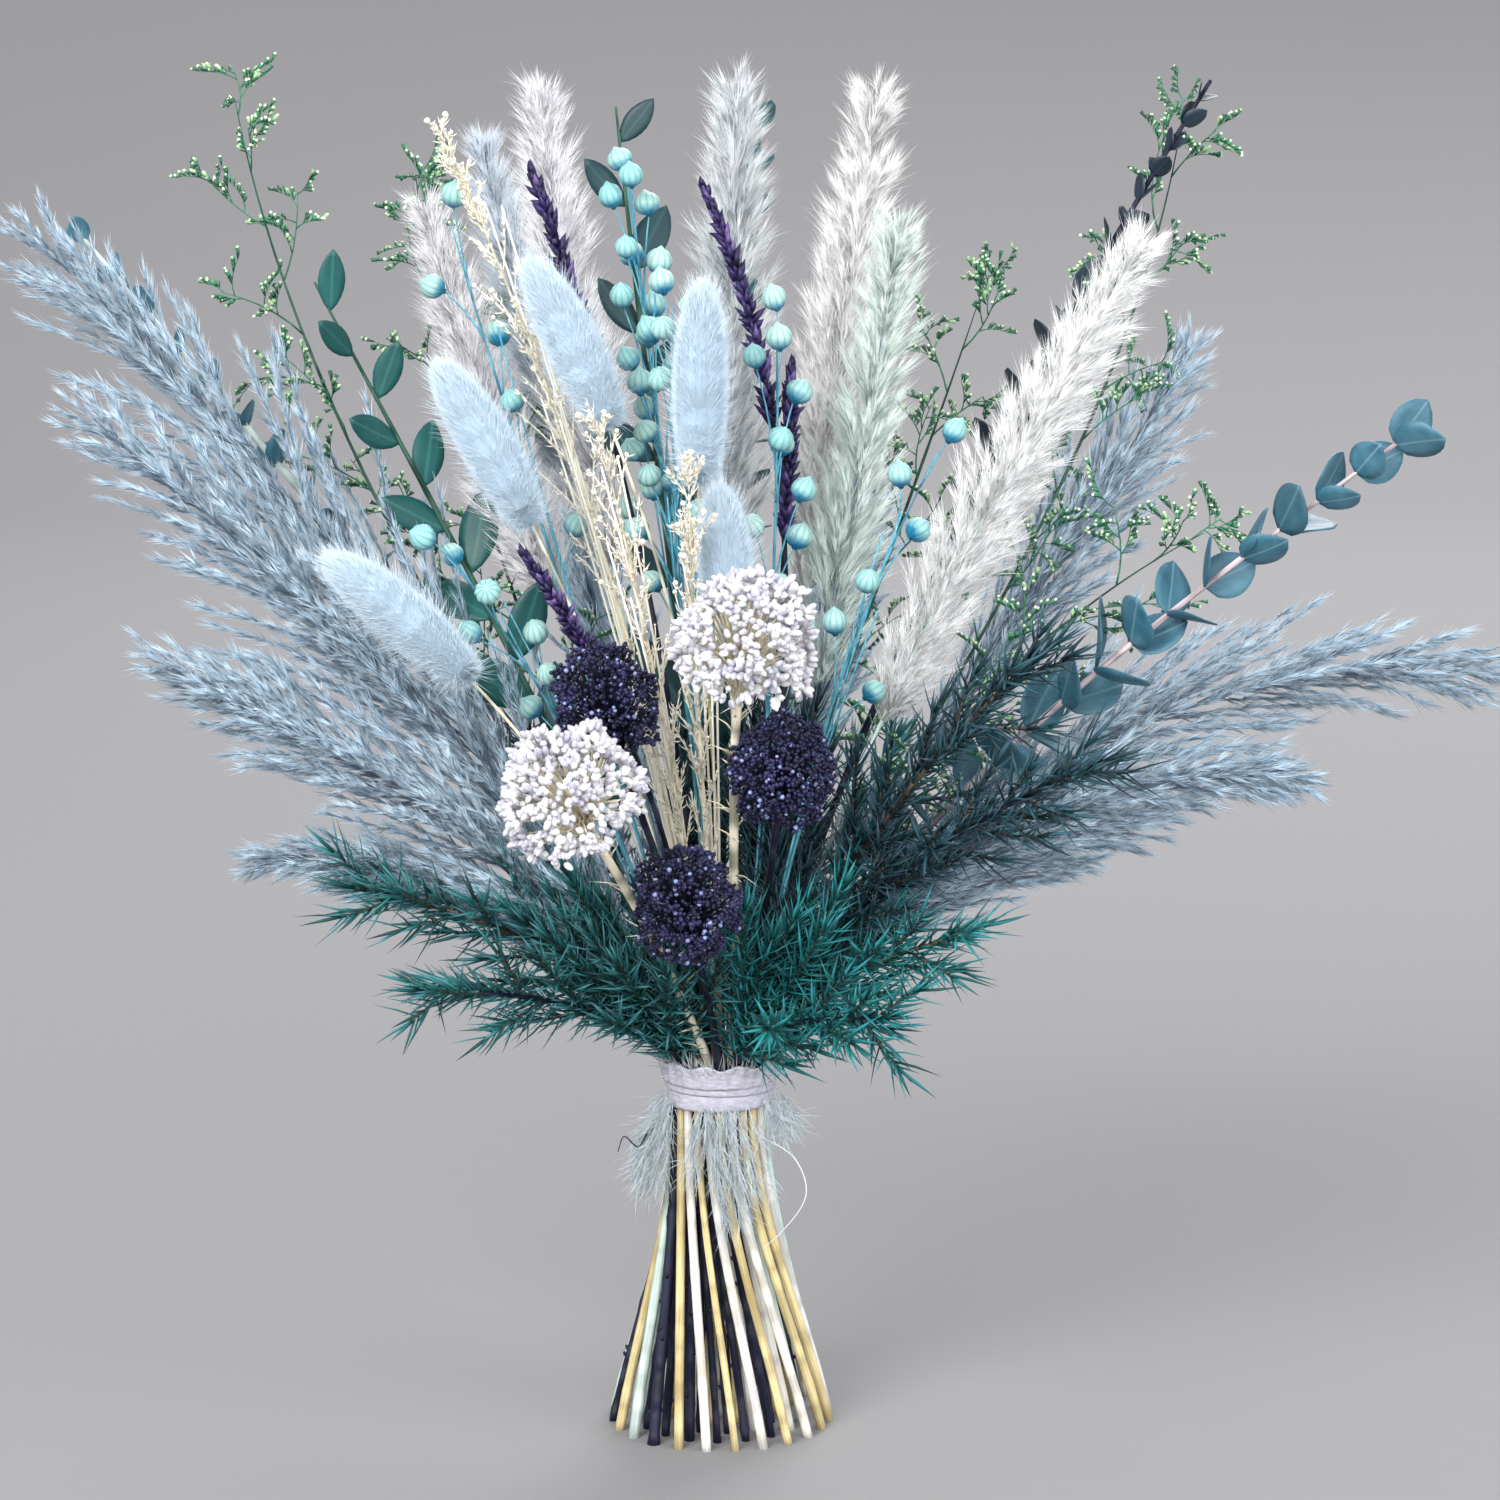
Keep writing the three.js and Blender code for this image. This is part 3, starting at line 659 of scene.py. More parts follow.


# a pod: painted shade makes it bluer and darker at its foot and dark in the grooves between the ribs; ripe
# ones are bluer all over
ribbed, given = effect("ribbed_pod", ["Groove", "Painted Foot Shade", "Face", "Ripe"])
tone, along, across = read(ribbed, "tone", "along", "across")
cloud = noise(ribbed, 300.0, 3.0)
# darker blue towards the foot of the pod: painted shade
climb = ramp(ribbed, scaled(ribbed, cloud, 0.5, sums(ribbed, "SUBTRACT", along, 0.25)), 0.12, 0.50)
body = mixed(ribbed, climb, given["Painted Foot Shade"],
             mixed(ribbed, scaled(ribbed, tone, 0.6), given["Face"], given["Ripe"]))
# dark in the grooves between the ribs: painted shade; the same mask also sinks the grooves in the bump
hollow = ramp(ribbed, across, -0.1, -0.95)
give(ribbed, mixed(ribbed, scaled(ribbed, hollow, 0.5), body, given["Groove"]),
     scaled(ribbed, cloud, 0.3, 0.3), sums(ribbed, "SUBTRACT", cloud, hollow))
# the first two colours are painted shade, in the grooves and at the foot
aqua_pod = finish("aqua_pod", ribbed, ((0.24, 0.60, 0.68), (0.08, 0.47, 0.62), (0.70, 0.83, 0.78),
                                       (0.44, 0.74, 0.76)), bump=(0.5, 0.3))
calyx = stalk_finish("calyx", (0.10, 0.42, 0.52), (0.24, 0.62, 0.70), (0.06, 0.28, 0.38), 0.4)
POD_SIZE = 7.3 * MM
# how many pods each plant has, and how many fine stems in its bundle
PODS = {1: (20, 5), 2: (18, 5), 3: (6, 3), 4: (8, 3), 5: (12, 3), 6: (6, 3)}
for number, node, random, line, ways in every("flax", 50, NECK - 3, 60):
    count, wires = PODS[number]
    share = np.linspace(0.22, 0.97, count) + random.normal(0, 0.01, count)
    at, _, _, radial = leaving(line, ways, share, np.zeros(count), spiral(random, count, 0.4))
    wide = np.interp(share, [0, 0.9, 1], [9.5, 6.5, 1.0]) * MM * random.uniform(0.7, 1.1, count)
    start, leave = along_path(line, ways, share - random.uniform(0.12, 0.24, count))
    stalks, tip, axis = grown(start, leave, at + radial * wide[:, None], 0.9, 0.36 * MM)
    axis = units(axis + 0.35 * any_way(random, count))
    pods = strew(pod, tip, axis, radial, POD_SIZE * random.uniform(0.88, 1.08, count),
                 POD_SIZE * random.uniform(0.88, 1.05, count), tone=random.random(count))
    five = np.repeat(np.arange(count), 5)
    cup, _ = turned(axis[five], radial[five], np.full(len(five), math.radians(52)),
                    np.tile(np.arange(5) * 1.2566, count))
    sepals = strew(hair, tip[five], cup, axis[five], 5.2 * MM, 0.85 * MM, 0.42, flat=0.9)
    first, leave = along_path(*flow(plants[node][0], 80), 0.42 + random.uniform(-0.08, 0.1, wires))
    goal = beside(random, line, ways, 0.15, 0.8, wires, 5 * MM)
    bundle, _, _ = grown(first, leave, goal, 1.2, 0.42 * MM)
    piece(f"{node}_twigs", [stalks, bundle], turquoise, node)
    piece(f"{node}_sepals", [sepals], calyx, node)
    piece(f"{node}_pods", [pods], aqua_pod, node)

# ------------------------------------------------------------
# The lavender. Slim spikes dyed dark violet: pointed bracts in tight rings round the stalk,
# closing up to a point.
violet = bloom_finish("violet", (0.10, 0.07, 0.22), (0.23, 0.17, 0.39), (0.40, 0.33, 0.54), 0.15)
BRACTS = 135
for _, node, random, line, ways in every("lavender", 60, NECK - 2, 50):
    share = np.linspace(0.12, 1.0, BRACTS) + random.normal(0, 0.004, BRACTS)
    share = np.where(share < 0.25, share * 0.9, share)
    lean = np.radians(np.interp(share, [0, 0.85, 1], [50, 40, 12]) + random.normal(0, 12, BRACTS))
    at, heading, out, _ = leaving(line, ways, share, lean, spiral(random, BRACTS, 0.2))
    long = np.interp(share, [0, 0.8, 1], [6.0, 5.4, 3.6]) * MM * random.uniform(0.7, 1.2, BRACTS)
    bracts = strew(hair, at, out, heading, long, 1.45 * MM, random.uniform(0.0, 0.25, BRACTS),
                   tone=random.random(BRACTS), flat=0.8)
    piece(f"{node}_bracts", [bracts], violet, node)

# ------------------------------------------------------------
# The navy clusters. Flat-topped heads of tiny dried florets, dyed navy, on branching stalks.
# A few florets, picked at random, are painted pale blue-white as painted highlights.
bead = bmesh.new()
bmesh.ops.create_icosphere(bead, subdivisions=1, radius=0.5)
bmesh.ops.translate(bead, verts=bead.verts, vec=(0, 0, 0.5))
# the third colour, on a few florets at random, is a painted highlight
navy = bloom_finish("navy", (0.06, 0.055, 0.16), (0.17, 0.16, 0.34), (0.56, 0.60, 0.80), 0.06)


def tipped(random, ways, least, most, once_round=ROUND):
    """Directions tipped away from ways by some angle between two, each to any side."""
    count = len(ways)
    return turned(ways, any_way(random, count), np.radians(random.uniform(least, most, count)),
                  random.uniform(0, once_round, count))


def clustered(random, node, line, ways, stems, each, clump, lowest, lumps):
    """Twigs that fan out to the surface of a head, evenly spaced over all but its underside,
    and the places of the small blooms that stand in a bunch round each twig's end."""
    half = np.linalg.norm(line[-1] - line[0]) / 2
    axis = units(line[-1] - line[0])
    girth = plants[node][1][NECK:].max()
    shift = random.uniform(0, 2 * math.pi)
    tip = np.arccos(np.linspace(0.99, lowest, stems)) + random.normal(0, 0.07, stems)
    dirs, _ = turned(np.broadcast_to(axis, (stems, 3)), np.array([1.0, 0.1, 0.0]), tip,
                     spiral(random, stems, 0.1))
    rise = dirs @ axis
    radial = dirs - rise[:, None] * axis
    deep = np.where(random.random((stems, 1)) < 0.18, random.uniform(0.60, 0.78, (stems, 1)),
                    random.uniform(0.80, 0.95, (stems, 1)))
    lump = np.sin(6 * dirs[:, :1] + shift) * np.cos(5 * dirs[:, 2:] + 2 * shift)
    reached = (radial * girth + axis * (rise * half)[:, None]) * (deep * (1 + lumps * lump))
    ends = line[0] + axis * half + reached
    normal = units(radial / girth + axis * (rise / half)[:, None])
    start, leave = along_path(line, ways, random.uniform(0.0, 0.30, stems))
    twigs, _, _ = grown(start, leave, ends, 0.8, 0.38 * MM)
    of = np.repeat(np.arange(stems), each)
    away, _ = tipped(random, normal[of], 0, 80, 2 * math.pi)
    spots = ends[of] + away * (clump * random.uniform(0.4, 1.0, len(of)))[:, None]
    return twigs, spots, away, ends[of]


for _, node, random, line, ways in every("navy_cluster", 70, NECK - 1, 20):
    twigs, spots, away, _ = clustered(random, node, line, ways, stems=170, each=13,
                                      clump=2.6 * MM, lowest=-0.80, lumps=0.07)
    size = random.uniform(0.9, 1.7, len(spots)) * MM
    florets = strew(bead, spots, away, any_way(random, len(spots)), size, size * 0.95,
                    tone=random.random(len(spots)))
    piece(f"{node}_twigs", [twigs], ink, node)
    piece(f"{node}_florets", [florets], navy, node)

# ------------------------------------------------------------
# The rice flowers. Bleached heads of egg-shaped buds in small bunches, at the ends of cream
# twigs that fork off one stalk. Thin curled leaves are left on the stalk.
bud = bmesh.new()
bmesh.ops.create_uvsphere(bud, u_segments=6, v_segments=5, radius=0.5)
bmesh.ops.translate(bud, verts=bud.verts, vec=(0, 0, 0.5))
for corner in bud.verts:
    corner.co.xy *= 1 - 0.35 * corner.co.z ** 2

chalk = bloom_finish("chalk", (0.72, 0.71, 0.77), (0.89, 0.88, 0.90), (0.95, 0.95, 0.94), 0.3,
                     bump=(0.2, 0.2))
RICE_UNDER = {1: -0.30, 2: -0.20}      # how far each head reaches round to its underside
RICE_LEAVES = 34
for number, node, random, line, ways in every("rice_flower", 80, NECK - 1, 20):
    twigs, spots, away, ends = clustered(random, node, line, ways, stems=124, each=8,
                                         clump=2.9 * MM, lowest=RICE_UNDER[number], lumps=0.15)
    leg, _, long, _ = reach(ends, away, spots, 0.3)
    stalks = strew(spike, ends, leg, away, long * 1.1, 0.30 * MM)
    size = random.uniform(2.6, 3.4, len(spots)) * MM
    lift = units(away + 0.35 * any_way(random, len(spots)))
    buds = strew(bud, spots, lift, any_way(random, len(spots)), size, size * 0.72,
                 tone=random.random(len(spots)))
    at, heading = along_path(*flow(plants[node][0], 90), random.uniform(0.45, 0.86, RICE_LEAVES))
    out, radial = tipped(random, heading, 15, 50)
    leaves = strew(hair, at, out, radial, random.uniform(6, 12, RICE_LEAVES) * MM, 0.55 * MM,
                   random.uniform(0.1, 0.6, RICE_LEAVES), flat=0.5)
    piece(f"{node}_twigs", [twigs, stalks, leaves], ivory, node)
    piece(f"{node}_buds", [buds], chalk, node)

# ------------------------------------------------------------
# The bleached sprays. Wiry cream panicles: long thin stems side by side, with short upright
# branchlets full of small curled scales and a few round buds near the top.
cream = fibre_finish("cream", (0.86, 0.82, 0.71), (0.96, 0.93, 0.85), (1.0, 0.985, 0.95), contrast=0.2,
                     sheen=0.0)
# how many branchlets and stems, and the share of the way from which the branchlets begin
SPRAYS = {1: (64, 5, 0.44), 2: (50, 4, 0.50), 3: (50, 4, 0.50)}
SCALES = 13       # on each branchlet
for number, node, random, line, ways in every("bleached_spray", 90, 0, 120):
    branches, wires, lowest = SPRAYS[number]
    share = np.sort(lowest + 0.06 + (0.935 - lowest) * random.random(branches) ** 0.75)
    lean = np.radians(random.uniform(10, 30, branches) * np.interp(share, [0.45, 0.75], [0.4, 1.0]))
    at, _, out, radial = leaving(line, ways, share, lean, np.arange(branches) * SPIRAL)
    long = np.interp(share, [0.5, 0.72, 1.0], [11, 24, 8]) * MM * random.uniform(0.6, 1.2, branches)
    bow = random.uniform(-0.15, 0.2, branches)
    # the arms, at depth 0.5, take part of the fibre's painted shade
    arms = strew(twig, at, out, radial, long, 0.30 * MM, bow, depth=0.5)
    of = np.repeat(np.arange(branches), SCALES)
    spot, ahead = on_twig(at[of], out[of], radial[of], long[of], bow[of],
                          random.uniform(0.1, 1.0, len(of)))
    curl, _ = tipped(random, ahead, 20, 70)
    scales = strew(hair, spot, curl, ahead, random.uniform(1.6, 3.6, len(of)) * MM, 0.36 * MM,
                   random.uniform(0.1, 0.7, len(of)), tone=random.random(len(of)))
    ends, ahead = on_twig(at, out, radial, long, bow, 1.0)
    size = random.uniform(1.0, 2.1, branches) * MM * np.where(share > 0.8, 1.0, 0.6)
    balls = strew(bead, ends, ahead, radial, size, size, tone=random.random(branches))
    wander = random.uniform(4, 8, (wires, 1)) * MM
    first, leave = along_path(line, ways, 0.33 + random.uniform(0, 0.04, wires))
    goal = beside(random, line, ways, 0.75, 0.97, wires, wander)
    stems, _, _ = grown(first, leave, goal, 1.5, 0.52 * MM, tone=0.6)
    piece(f"{node}_scales", [arms, scales, balls, stems], cream, node)

# ------------------------------------------------------------
# The needle foliage. Sprigs of asparagus fern dyed dark teal: side shoots at every few
# millimetres, all thick with narrow flat needles that curve towards the tip.
needle = cone(4, 0.5, 0.0, [0.45], 1.9)


def teal_finish(name, *colours, patches=32.0):
    """A needle's material: the needles differ a lot at random, partly in their dye and partly as painted
    shade and painted highlights.
    """
    return fibre_finish(name, *colours, patches=patches, contrast=1.3, sheen=0.0)


bright_teal = teal_finish("bright_teal", (0.02, 0.22, 0.25), (0.06, 0.50, 0.49), (0.16, 0.44, 0.48),
                          patches=34.0)
teal = teal_finish("teal", (0.04, 0.22, 0.25), (0.12, 0.46, 0.45), (0.24, 0.40, 0.44))
deep_teal = teal_finish("deep_teal", (0.04, 0.14, 0.18), (0.08, 0.32, 0.35), (0.22, 0.24, 0.31))
NEEDLE_GAP = 0.84 * MM
SHOOT_GAP = 6.5 * MM
# each sprig's dye, and its extra shoots just above the tie: how many, the bearings between
# which they lean out, how steeply they rise, and their length in mm; three sprigs in dark
# deep_teal fill the heart of the bunch with theirs, partly as painted shade there
SPRIGS = {
    1: (teal, 16, (-195, -80), (0.5, 2.2), (36, 72)),
    2: (teal, 12, (-190, -60), (0.6, 2.4), (34, 60)),
    3: (deep_teal, 14, (20, 160), (3.2, 7.0), (60, 105)),
    4: (deep_teal, 14, (60, 130), (3.2, 7.0), (60, 95)),
    5: (bright_teal, 13, (-80, 20), (0.8, 2.6), (34, 68)),
    6: (bright_teal, 10, (-110, -10), (0.9, 2.6), (34, 56)),
    7: (deep_teal, 13, (-70, 90), (3.0, 8.0), (60, 105)),
    8: (teal, 9, (40, 110), (0.9, 2.6), (32, 50)),
}
for number, node, random, line, ways in every("needle_foliage", 100, 2, 140):
    dye, extra, bearings, steepness, lengths = SPRIGS[number]
    whole = np.linalg.norm(np.diff(line, axis=0), axis=1).sum()
    shoots = int(whole * 0.9 / SHOOT_GAP)
    share = np.linspace(0.10, 0.92, shoots)
    lean = np.radians(random.uniform(26, 52, shoots))
    at, heading, out, _ = leaving(line, ways, share, lean, spiral(random, shoots, 0.4))
    long = 27 * MM * random.uniform(0.7, 1.2, shoots) * np.interp(share, [0, 0.4, 1], [0.8, 1.1, 0.6])
    low_at, low_heading = along_path(line, ways, random.uniform(0.01, 0.16, extra))
    aim = np.radians(random.uniform(*bearings, extra))
    rise = random.uniform(*steepness, extra)
    at, heading = np.concatenate([at, low_at]), np.concatenate([heading, low_heading])
    out = np.concatenate([out, units(np.stack([np.cos(aim), np.sin(aim), rise], axis=1))])
    long = np.concatenate([long, random.uniform(*lengths, extra) * MM])
    bow = random.uniform(0.0, 0.15, shoots + extra)
    arms = strew(twig, at, out, heading, long, 0.42 * MM, bow)
    # needles along every shoot and along the stalk itself, closing up at the tips
    number_each = np.maximum((long / NEEDLE_GAP).astype(int), 6)
    of = np.repeat(np.arange(shoots + extra), number_each)
    part = np.concatenate([(np.arange(n) + 0.6) / n for n in number_each])
    spot, ahead = on_twig(at[of], out[of], heading[of], long[of], bow[of], part)
    main = int(whole * 0.9 / NEEDLE_GAP)
    spot_main, ahead_main = along_path(line, ways, np.linspace(0.08, 0.995, main))
    spot, ahead = np.concatenate([spot, spot_main]), np.concatenate([ahead, ahead_main])
    count = len(spot)
    lean = np.radians(random.uniform(26, 66, count))
    lean = lean * np.interp(np.append(part, np.linspace(0, 1, main)), [0.75, 1.0], [1.0, 0.45])
    blade, _ = turned(ahead, sides_of(ways)[0], lean, np.arange(count) * SPIRAL)
    size = random.uniform(9, 15.5, count) * MM
    blades = strew(needle, spot, blade, ahead, size, 0.50 * MM, random.uniform(0.02, 0.2, count),
                   tone=random.random(count), depth=random.uniform(0.2, 1.0, count), flat=2.0)
    piece(f"{node}_shoots", [arms], bark, node)
    piece(f"{node}_needles", [blades], dye, node)

# ------------------------------------------------------------
# The eucalyptus. Preserved stems with leaves in crossed pairs, large and round-shouldered low
# down and small at the tip. The blades are cupped, with a pale midrib and a waxy bloom.
LEAF_WALL = 0.02


def leaf_shape(half, skew, blunt, cup, fold):
    """A leaf blade one unit long, standing on its stalk: a grid drawn in to its outline,
    cupped and creased along the midrib, then given its thickness."""
    blade = bmesh.new()
    bmesh.ops.create_grid(blade, x_segments=4, y_segments=8, size=0.5)
    for corner in blade.verts:
        z = corner.co.y + 0.5
        y = corner.co.x * 2 * (half * math.sin(math.pi * min(z, 0.999) ** skew) ** blunt + 0.002)
        corner.co = (cup * y * y * 2 - fold * abs(y), y, z)
    bmesh.ops.remove_doubles(blade, verts=blade.verts, dist=0.004)
    bmesh.ops.recalc_face_normals(blade, faces=blade.faces)
    bmesh.ops.solidify(blade, geom=blade.faces[:], thickness=LEAF_WALL)
    bmesh.ops.recalc_face_normals(blade, faces=blade.faces)
    return blade


round_leaf = leaf_shape(half=0.40, skew=0.85, blunt=0.62, cup=0.35, fold=0.10)
veined, given = effect("leaf_blade", ["Edge", "Blade", "Vein", "Bloom"], ["Bloomed"])
tone, along, across = read(veined, "tone", "along", "across")
across = sums(veined, "ABSOLUTE", across)
cloud = noise(veined, 110.0, 4.0)
slant = sums(veined, "SUBTRACT", scaled(veined, along, 9.0), scaled(veined, across, 11.0))
side_rib = ramp(veined, sums(veined, "PINGPONG", slant, 0.5), 0.07, 0.0)
ribs = sums(veined, "MAXIMUM", ramp(veined, across, 0.035, 0.0), scaled(veined, side_rib, 0.35))
rim = scaled(veined, ramp(veined, along, 0.6, 1.0), 0.7)
dusty = scaled(veined, ramp(veined, cloud, 0.4, 0.7), given["Bloomed"])
body = mixed(veined, dusty, mixed(veined, rim, given["Blade"], given["Edge"]), given["Bloom"])
body = mixed(veined, scaled(veined, ribs, 0.6), body, given["Vein"])
give(veined, lit(veined, body, scaled(veined, tone, 0.5, 0.75)), scaled(veined, cloud, 0.35, 0.3),
     sums(veined, "SUBTRACT", cloud, scaled(veined, ribs, 0.5)))


def leaf_finish(name, *values):
    """A leaf's material, from its edge, blade, vein and bloom colours and how dusty it is."""
    return finish(name, veined, values, bump=(0.4, 0.25))


blue_gum = leaf_finish("blue_gum", (0.12, 0.30, 0.39), (0.19, 0.39, 0.46), (0.48, 0.62, 0.66),
                       (0.36, 0.54, 0.61), 0.6)
night_gum = leaf_finish("night_gum", (0.05, 0.08, 0.14), (0.09, 0.15, 0.20), (0.20, 0.26, 0.30),
                        (0.16, 0.26, 0.33), 0.5)
teal_gum = leaf_finish("teal_gum", (0.08, 0.28, 0.32), (0.13, 0.36, 0.38), (0.30, 0.48, 0.48),
                       (0.25, 0.46, 0.50), 0.5)
# pairs, lowest pair's share of the way, largest and smallest leaf in mm, finish
GUMS = {1: (16, 0.46, 26, 14, blue_gum), 2: (17, 0.66, 14, 7, night_gum),
        3: (10, 0.66, 15, 9, teal_gum), 4: (12, 0.60, 14, 8, blue_gum)}
for number, node, random, line, ways in every("eucalyptus", 120, 0, 120):
    pairs, lowest, large, small, leaf = GUMS[number]
    count = pairs * 2
    share = np.repeat(np.linspace(lowest, 0.98, pairs), 2)
    crossed = np.tile([0, math.pi], pairs) + np.repeat(np.arange(pairs) * math.pi / 2, 2) + 0.5
    lean = np.radians(np.interp(share, [lowest, 1], [72, 28]) + random.normal(0, 9, count))
    crossed = crossed + random.normal(0, 0.25, count)
    at, heading, out, _ = leaving(line, ways, share, lean, crossed)
    size = np.interp(share, [lowest, 1], [large, small]) * MM * random.uniform(0.85, 1.12, count)
    leaves = strew(round_leaf, at, out, heading + 0.25 * any_way(random, count), size, size,
                   random.uniform(-0.12, 0.22, count), tone=random.random(count))
    piece(f"{node}_leaves", [leaves], leaf, node)

# ------------------------------------------------------------
# The sea lavender. Wiry green stalks with arched branches; each carries one-sided rows of
# tiny papery florets, green with a cream mouth.
sea_green = bloom_finish("sea_green", (0.13, 0.34, 0.25), (0.26, 0.52, 0.38), (0.60, 0.76, 0.56), 0.15)
papery = bloom_finish("papery", (0.62, 0.76, 0.58), (0.84, 0.90, 0.74), (0.94, 0.95, 0.86), 0.3)
ARMS, HOOKS, FLORETS = 12, 6, 8      # arms on a stalk, hooks on an arm, florets on a hook


def across_view(random, ways, loose):
    """Directions roughly square to ways, in the plane that is seen from the front."""
    return units(np.cross(ways, [0.0, 1.0, 0.0]) + loose * any_way(random, len(ways)))


for _, node, random, line, ways in every("sea_lavender", 130, 0, 120):
    share = np.linspace(0.55, 0.985, ARMS)
    lean = np.radians(random.uniform(22, 50, ARMS))
    at, _, out, _ = leaving(line, ways, share, lean, spiral(random, ARMS, 0.3))
    long = np.interp(share, [0.55, 0.9, 1.0], [34, 26, 12]) * MM * random.uniform(0.75, 1.2, ARMS)
    bow = random.uniform(0.1, 0.45, ARMS) * np.where(random.random(ARMS) < 0.6, 1, -1)
    curve = across_view(random, out, 0.5)
    wires = strew(twig, at, out, curve, long, 0.32 * MM, bow)
    # short hooked side branches, each with a row of florets on its outer side
    of = np.repeat(np.arange(ARMS), HOOKS)
    part = np.tile(np.linspace(0.35, 0.97, HOOKS), ARMS) + random.normal(0, 0.03, len(of))
    fork, ahead = on_twig(at[of], out[of], curve[of], long[of], bow[of], part)
    arch, _ = tipped(random, ahead, 25, 65)
    over = across_view(random, arch, 0.4)
    span = random.uniform(6, 12, len(of)) * MM
    bend = random.uniform(0.3, 0.7, len(of)) * np.where(random.random(len(of)) < 0.5, 1, -1)
    hooked = strew(twig, fork, arch, over, span, 0.24 * MM, bend)
    on = np.repeat(np.arange(len(of)), FLORETS)
    spot, ahead = on_twig(fork[on], arch[on], over[on], span[on], bend[on],
                          np.tile(np.linspace(0.3, 1.0, FLORETS), len(of)))
    outer = units(-over[on] * np.sign(bend[on])[:, None] + 0.5 * any_way(random, len(on)))
    tilt, _ = turned(ahead, outer, np.radians(random.uniform(10, 50, len(on))), np.zeros(len(on)))
    size = random.uniform(1.9, 3.5, len(on)) * MM
    cups = strew(spike, spot + tilt * size[:, None], -tilt, outer, size, 0.86 * MM,
                 tone=random.random(len(on)))
    open_ones = random.random(len(on)) < 0.6
    mouth = (spot + tilt * (size * 0.85)[:, None])[open_ones]
    mouths = strew(bead, mouth, tilt[open_ones], outer[open_ones], 1.25 * MM, 1.1 * MM,
                   tone=random.random(len(mouth)))
    piece(f"{node}_cups", [wires, hooked, cups], sea_green, node)
    piece(f"{node}_florets", [mouths], papery, node)

# ------------------------------------------------------------
# The ruscus. Preserved stems with stiff oval pointed leaves, left and right in turn. They
# turn their faces to the light, so most of them show their full width.
long_leaf = leaf_shape(half=0.22, skew=1.0, blunt=0.75, cup=0.3, fold=0.15)
ruscus_green = leaf_finish("ruscus_green", (0.04, 0.24, 0.24), (0.06, 0.31, 0.30), (0.20, 0.46, 0.42),
                           (0.12, 0.38, 0.37), 0.4)
ruscus_dark = leaf_finish("ruscus_dark", (0.03, 0.14, 0.16), (0.06, 0.22, 0.24), (0.18, 0.36, 0.36),
                          (0.12, 0.30, 0.32), 0.4)
RUSCUS = {1: (13, ruscus_green), 2: (11, ruscus_dark)}
for number, node, random, line, ways in every("ruscus", 140, 0, 120):
    count, leaf = RUSCUS[number]
    share = np.linspace(0.50, 0.97, count)
    at, heading = along_path(line, ways, share)
    out, _ = turned(heading, np.array([1.0, 0.2, 0.0]), np.radians(random.uniform(30, 55, count)),
                    np.arange(count) * math.pi + random.normal(0, 0.5, count))
    face = units(np.array([0.2, -1.0, 0.35]) + 0.35 * any_way(random, count))
    size = np.interp(share, [0.5, 0.8, 1], [27, 25, 16]) * MM * random.uniform(0.85, 1.15, count)
    leaves = strew(long_leaf, at, out, face, size, size, random.uniform(-0.1, 0.15, count),
                   tone=random.random(count))
    piece(f"{node}_leaves", [leaves], leaf, node)

# ------------------------------------------------------------
# The tie. Soft pearly tape wound tight round the waist of the bunch, three turns on top of
# each other, crinkled where it is gathered. It holds every stalk.
tie_low, tie_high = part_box("tie")
centre = np.array([(tie_low.x + tie_high.x) / 2, (tie_low.y + tie_high.y) / 2, 0.0])
tie_radius = (tie_high.x - tie_low.x) / 2
band = tie_high.z - tie_low.z
TAPE_SIDES = 160
TAPE_ROWS = 8
TAPE_WALL = 0.45 * MM


def wrap(bottom, top, radius, belly, flare, pleat, seed):
    """One turn of the tape: a ring of edges drawn upwards row by row, then rolled, pleated and
    flared, and given its thickness."""
    turn = bmesh.new()
    ring = bmesh.ops.create_circle(turn, cap_ends=False, segments=TAPE_SIDES, radius=1.0)["verts"]
    rows = [ring]
    for _ in range(TAPE_ROWS):
        edges = [e for v in rows[-1] for e in v.link_edges if e.other_vert(v) in rows[-1]]
        made = bmesh.ops.extrude_edge_only(turn, edges=list(dict.fromkeys(edges)))["geom"]
        rows.append([g for g in made if isinstance(g, bmesh.types.BMVert)])
    shifts = np.random.default_rng(seed).uniform(0, 2 * math.pi, 6)
    for row, ring in enumerate(rows):
        h = row / TAPE_ROWS
        for corner in ring:
            a = math.atan2(corner.co.y, corner.co.x)
            fold = 1 - 2 * abs(math.sin(9 * a + shifts[0] + 1.2 * h)) ** 0.8
            fold += 0.7 * (1 - 2 * abs(math.sin(16 * a + shifts[1] - 1.7 * h + 0.6 * math.sin(3 * a))))
            fold += 0.4 * math.sin(37 * a + shifts[2] + 3 * h)
            crinkle = 0.06 * MM * math.sin(2.5 * a + shifts[3] + 19 * h)
            grown_by = pleat * (0.25 + 0.75 * h)
            out = radius + belly * (1 - (2 * h - 1) ** 2) + flare * h ** 2 + grown_by * fold + crinkle
            rise = bottom + (top - bottom) * h + 0.35 * MM * math.sin(a + shifts[4])
            rise += h * 1.2 * grown_by * math.sin(11 * a + shifts[5])
            corner.co = (centre[0] + out * math.cos(a), centre[1] + out * math.sin(a), rise)
    bmesh.ops.recalc_face_normals(turn, faces=turn.faces)
    bmesh.ops.solidify(turn, geom=turn.faces[:], thickness=TAPE_WALL)
    bmesh.ops.recalc_face_normals(turn, faces=turn.faces)
    return turn


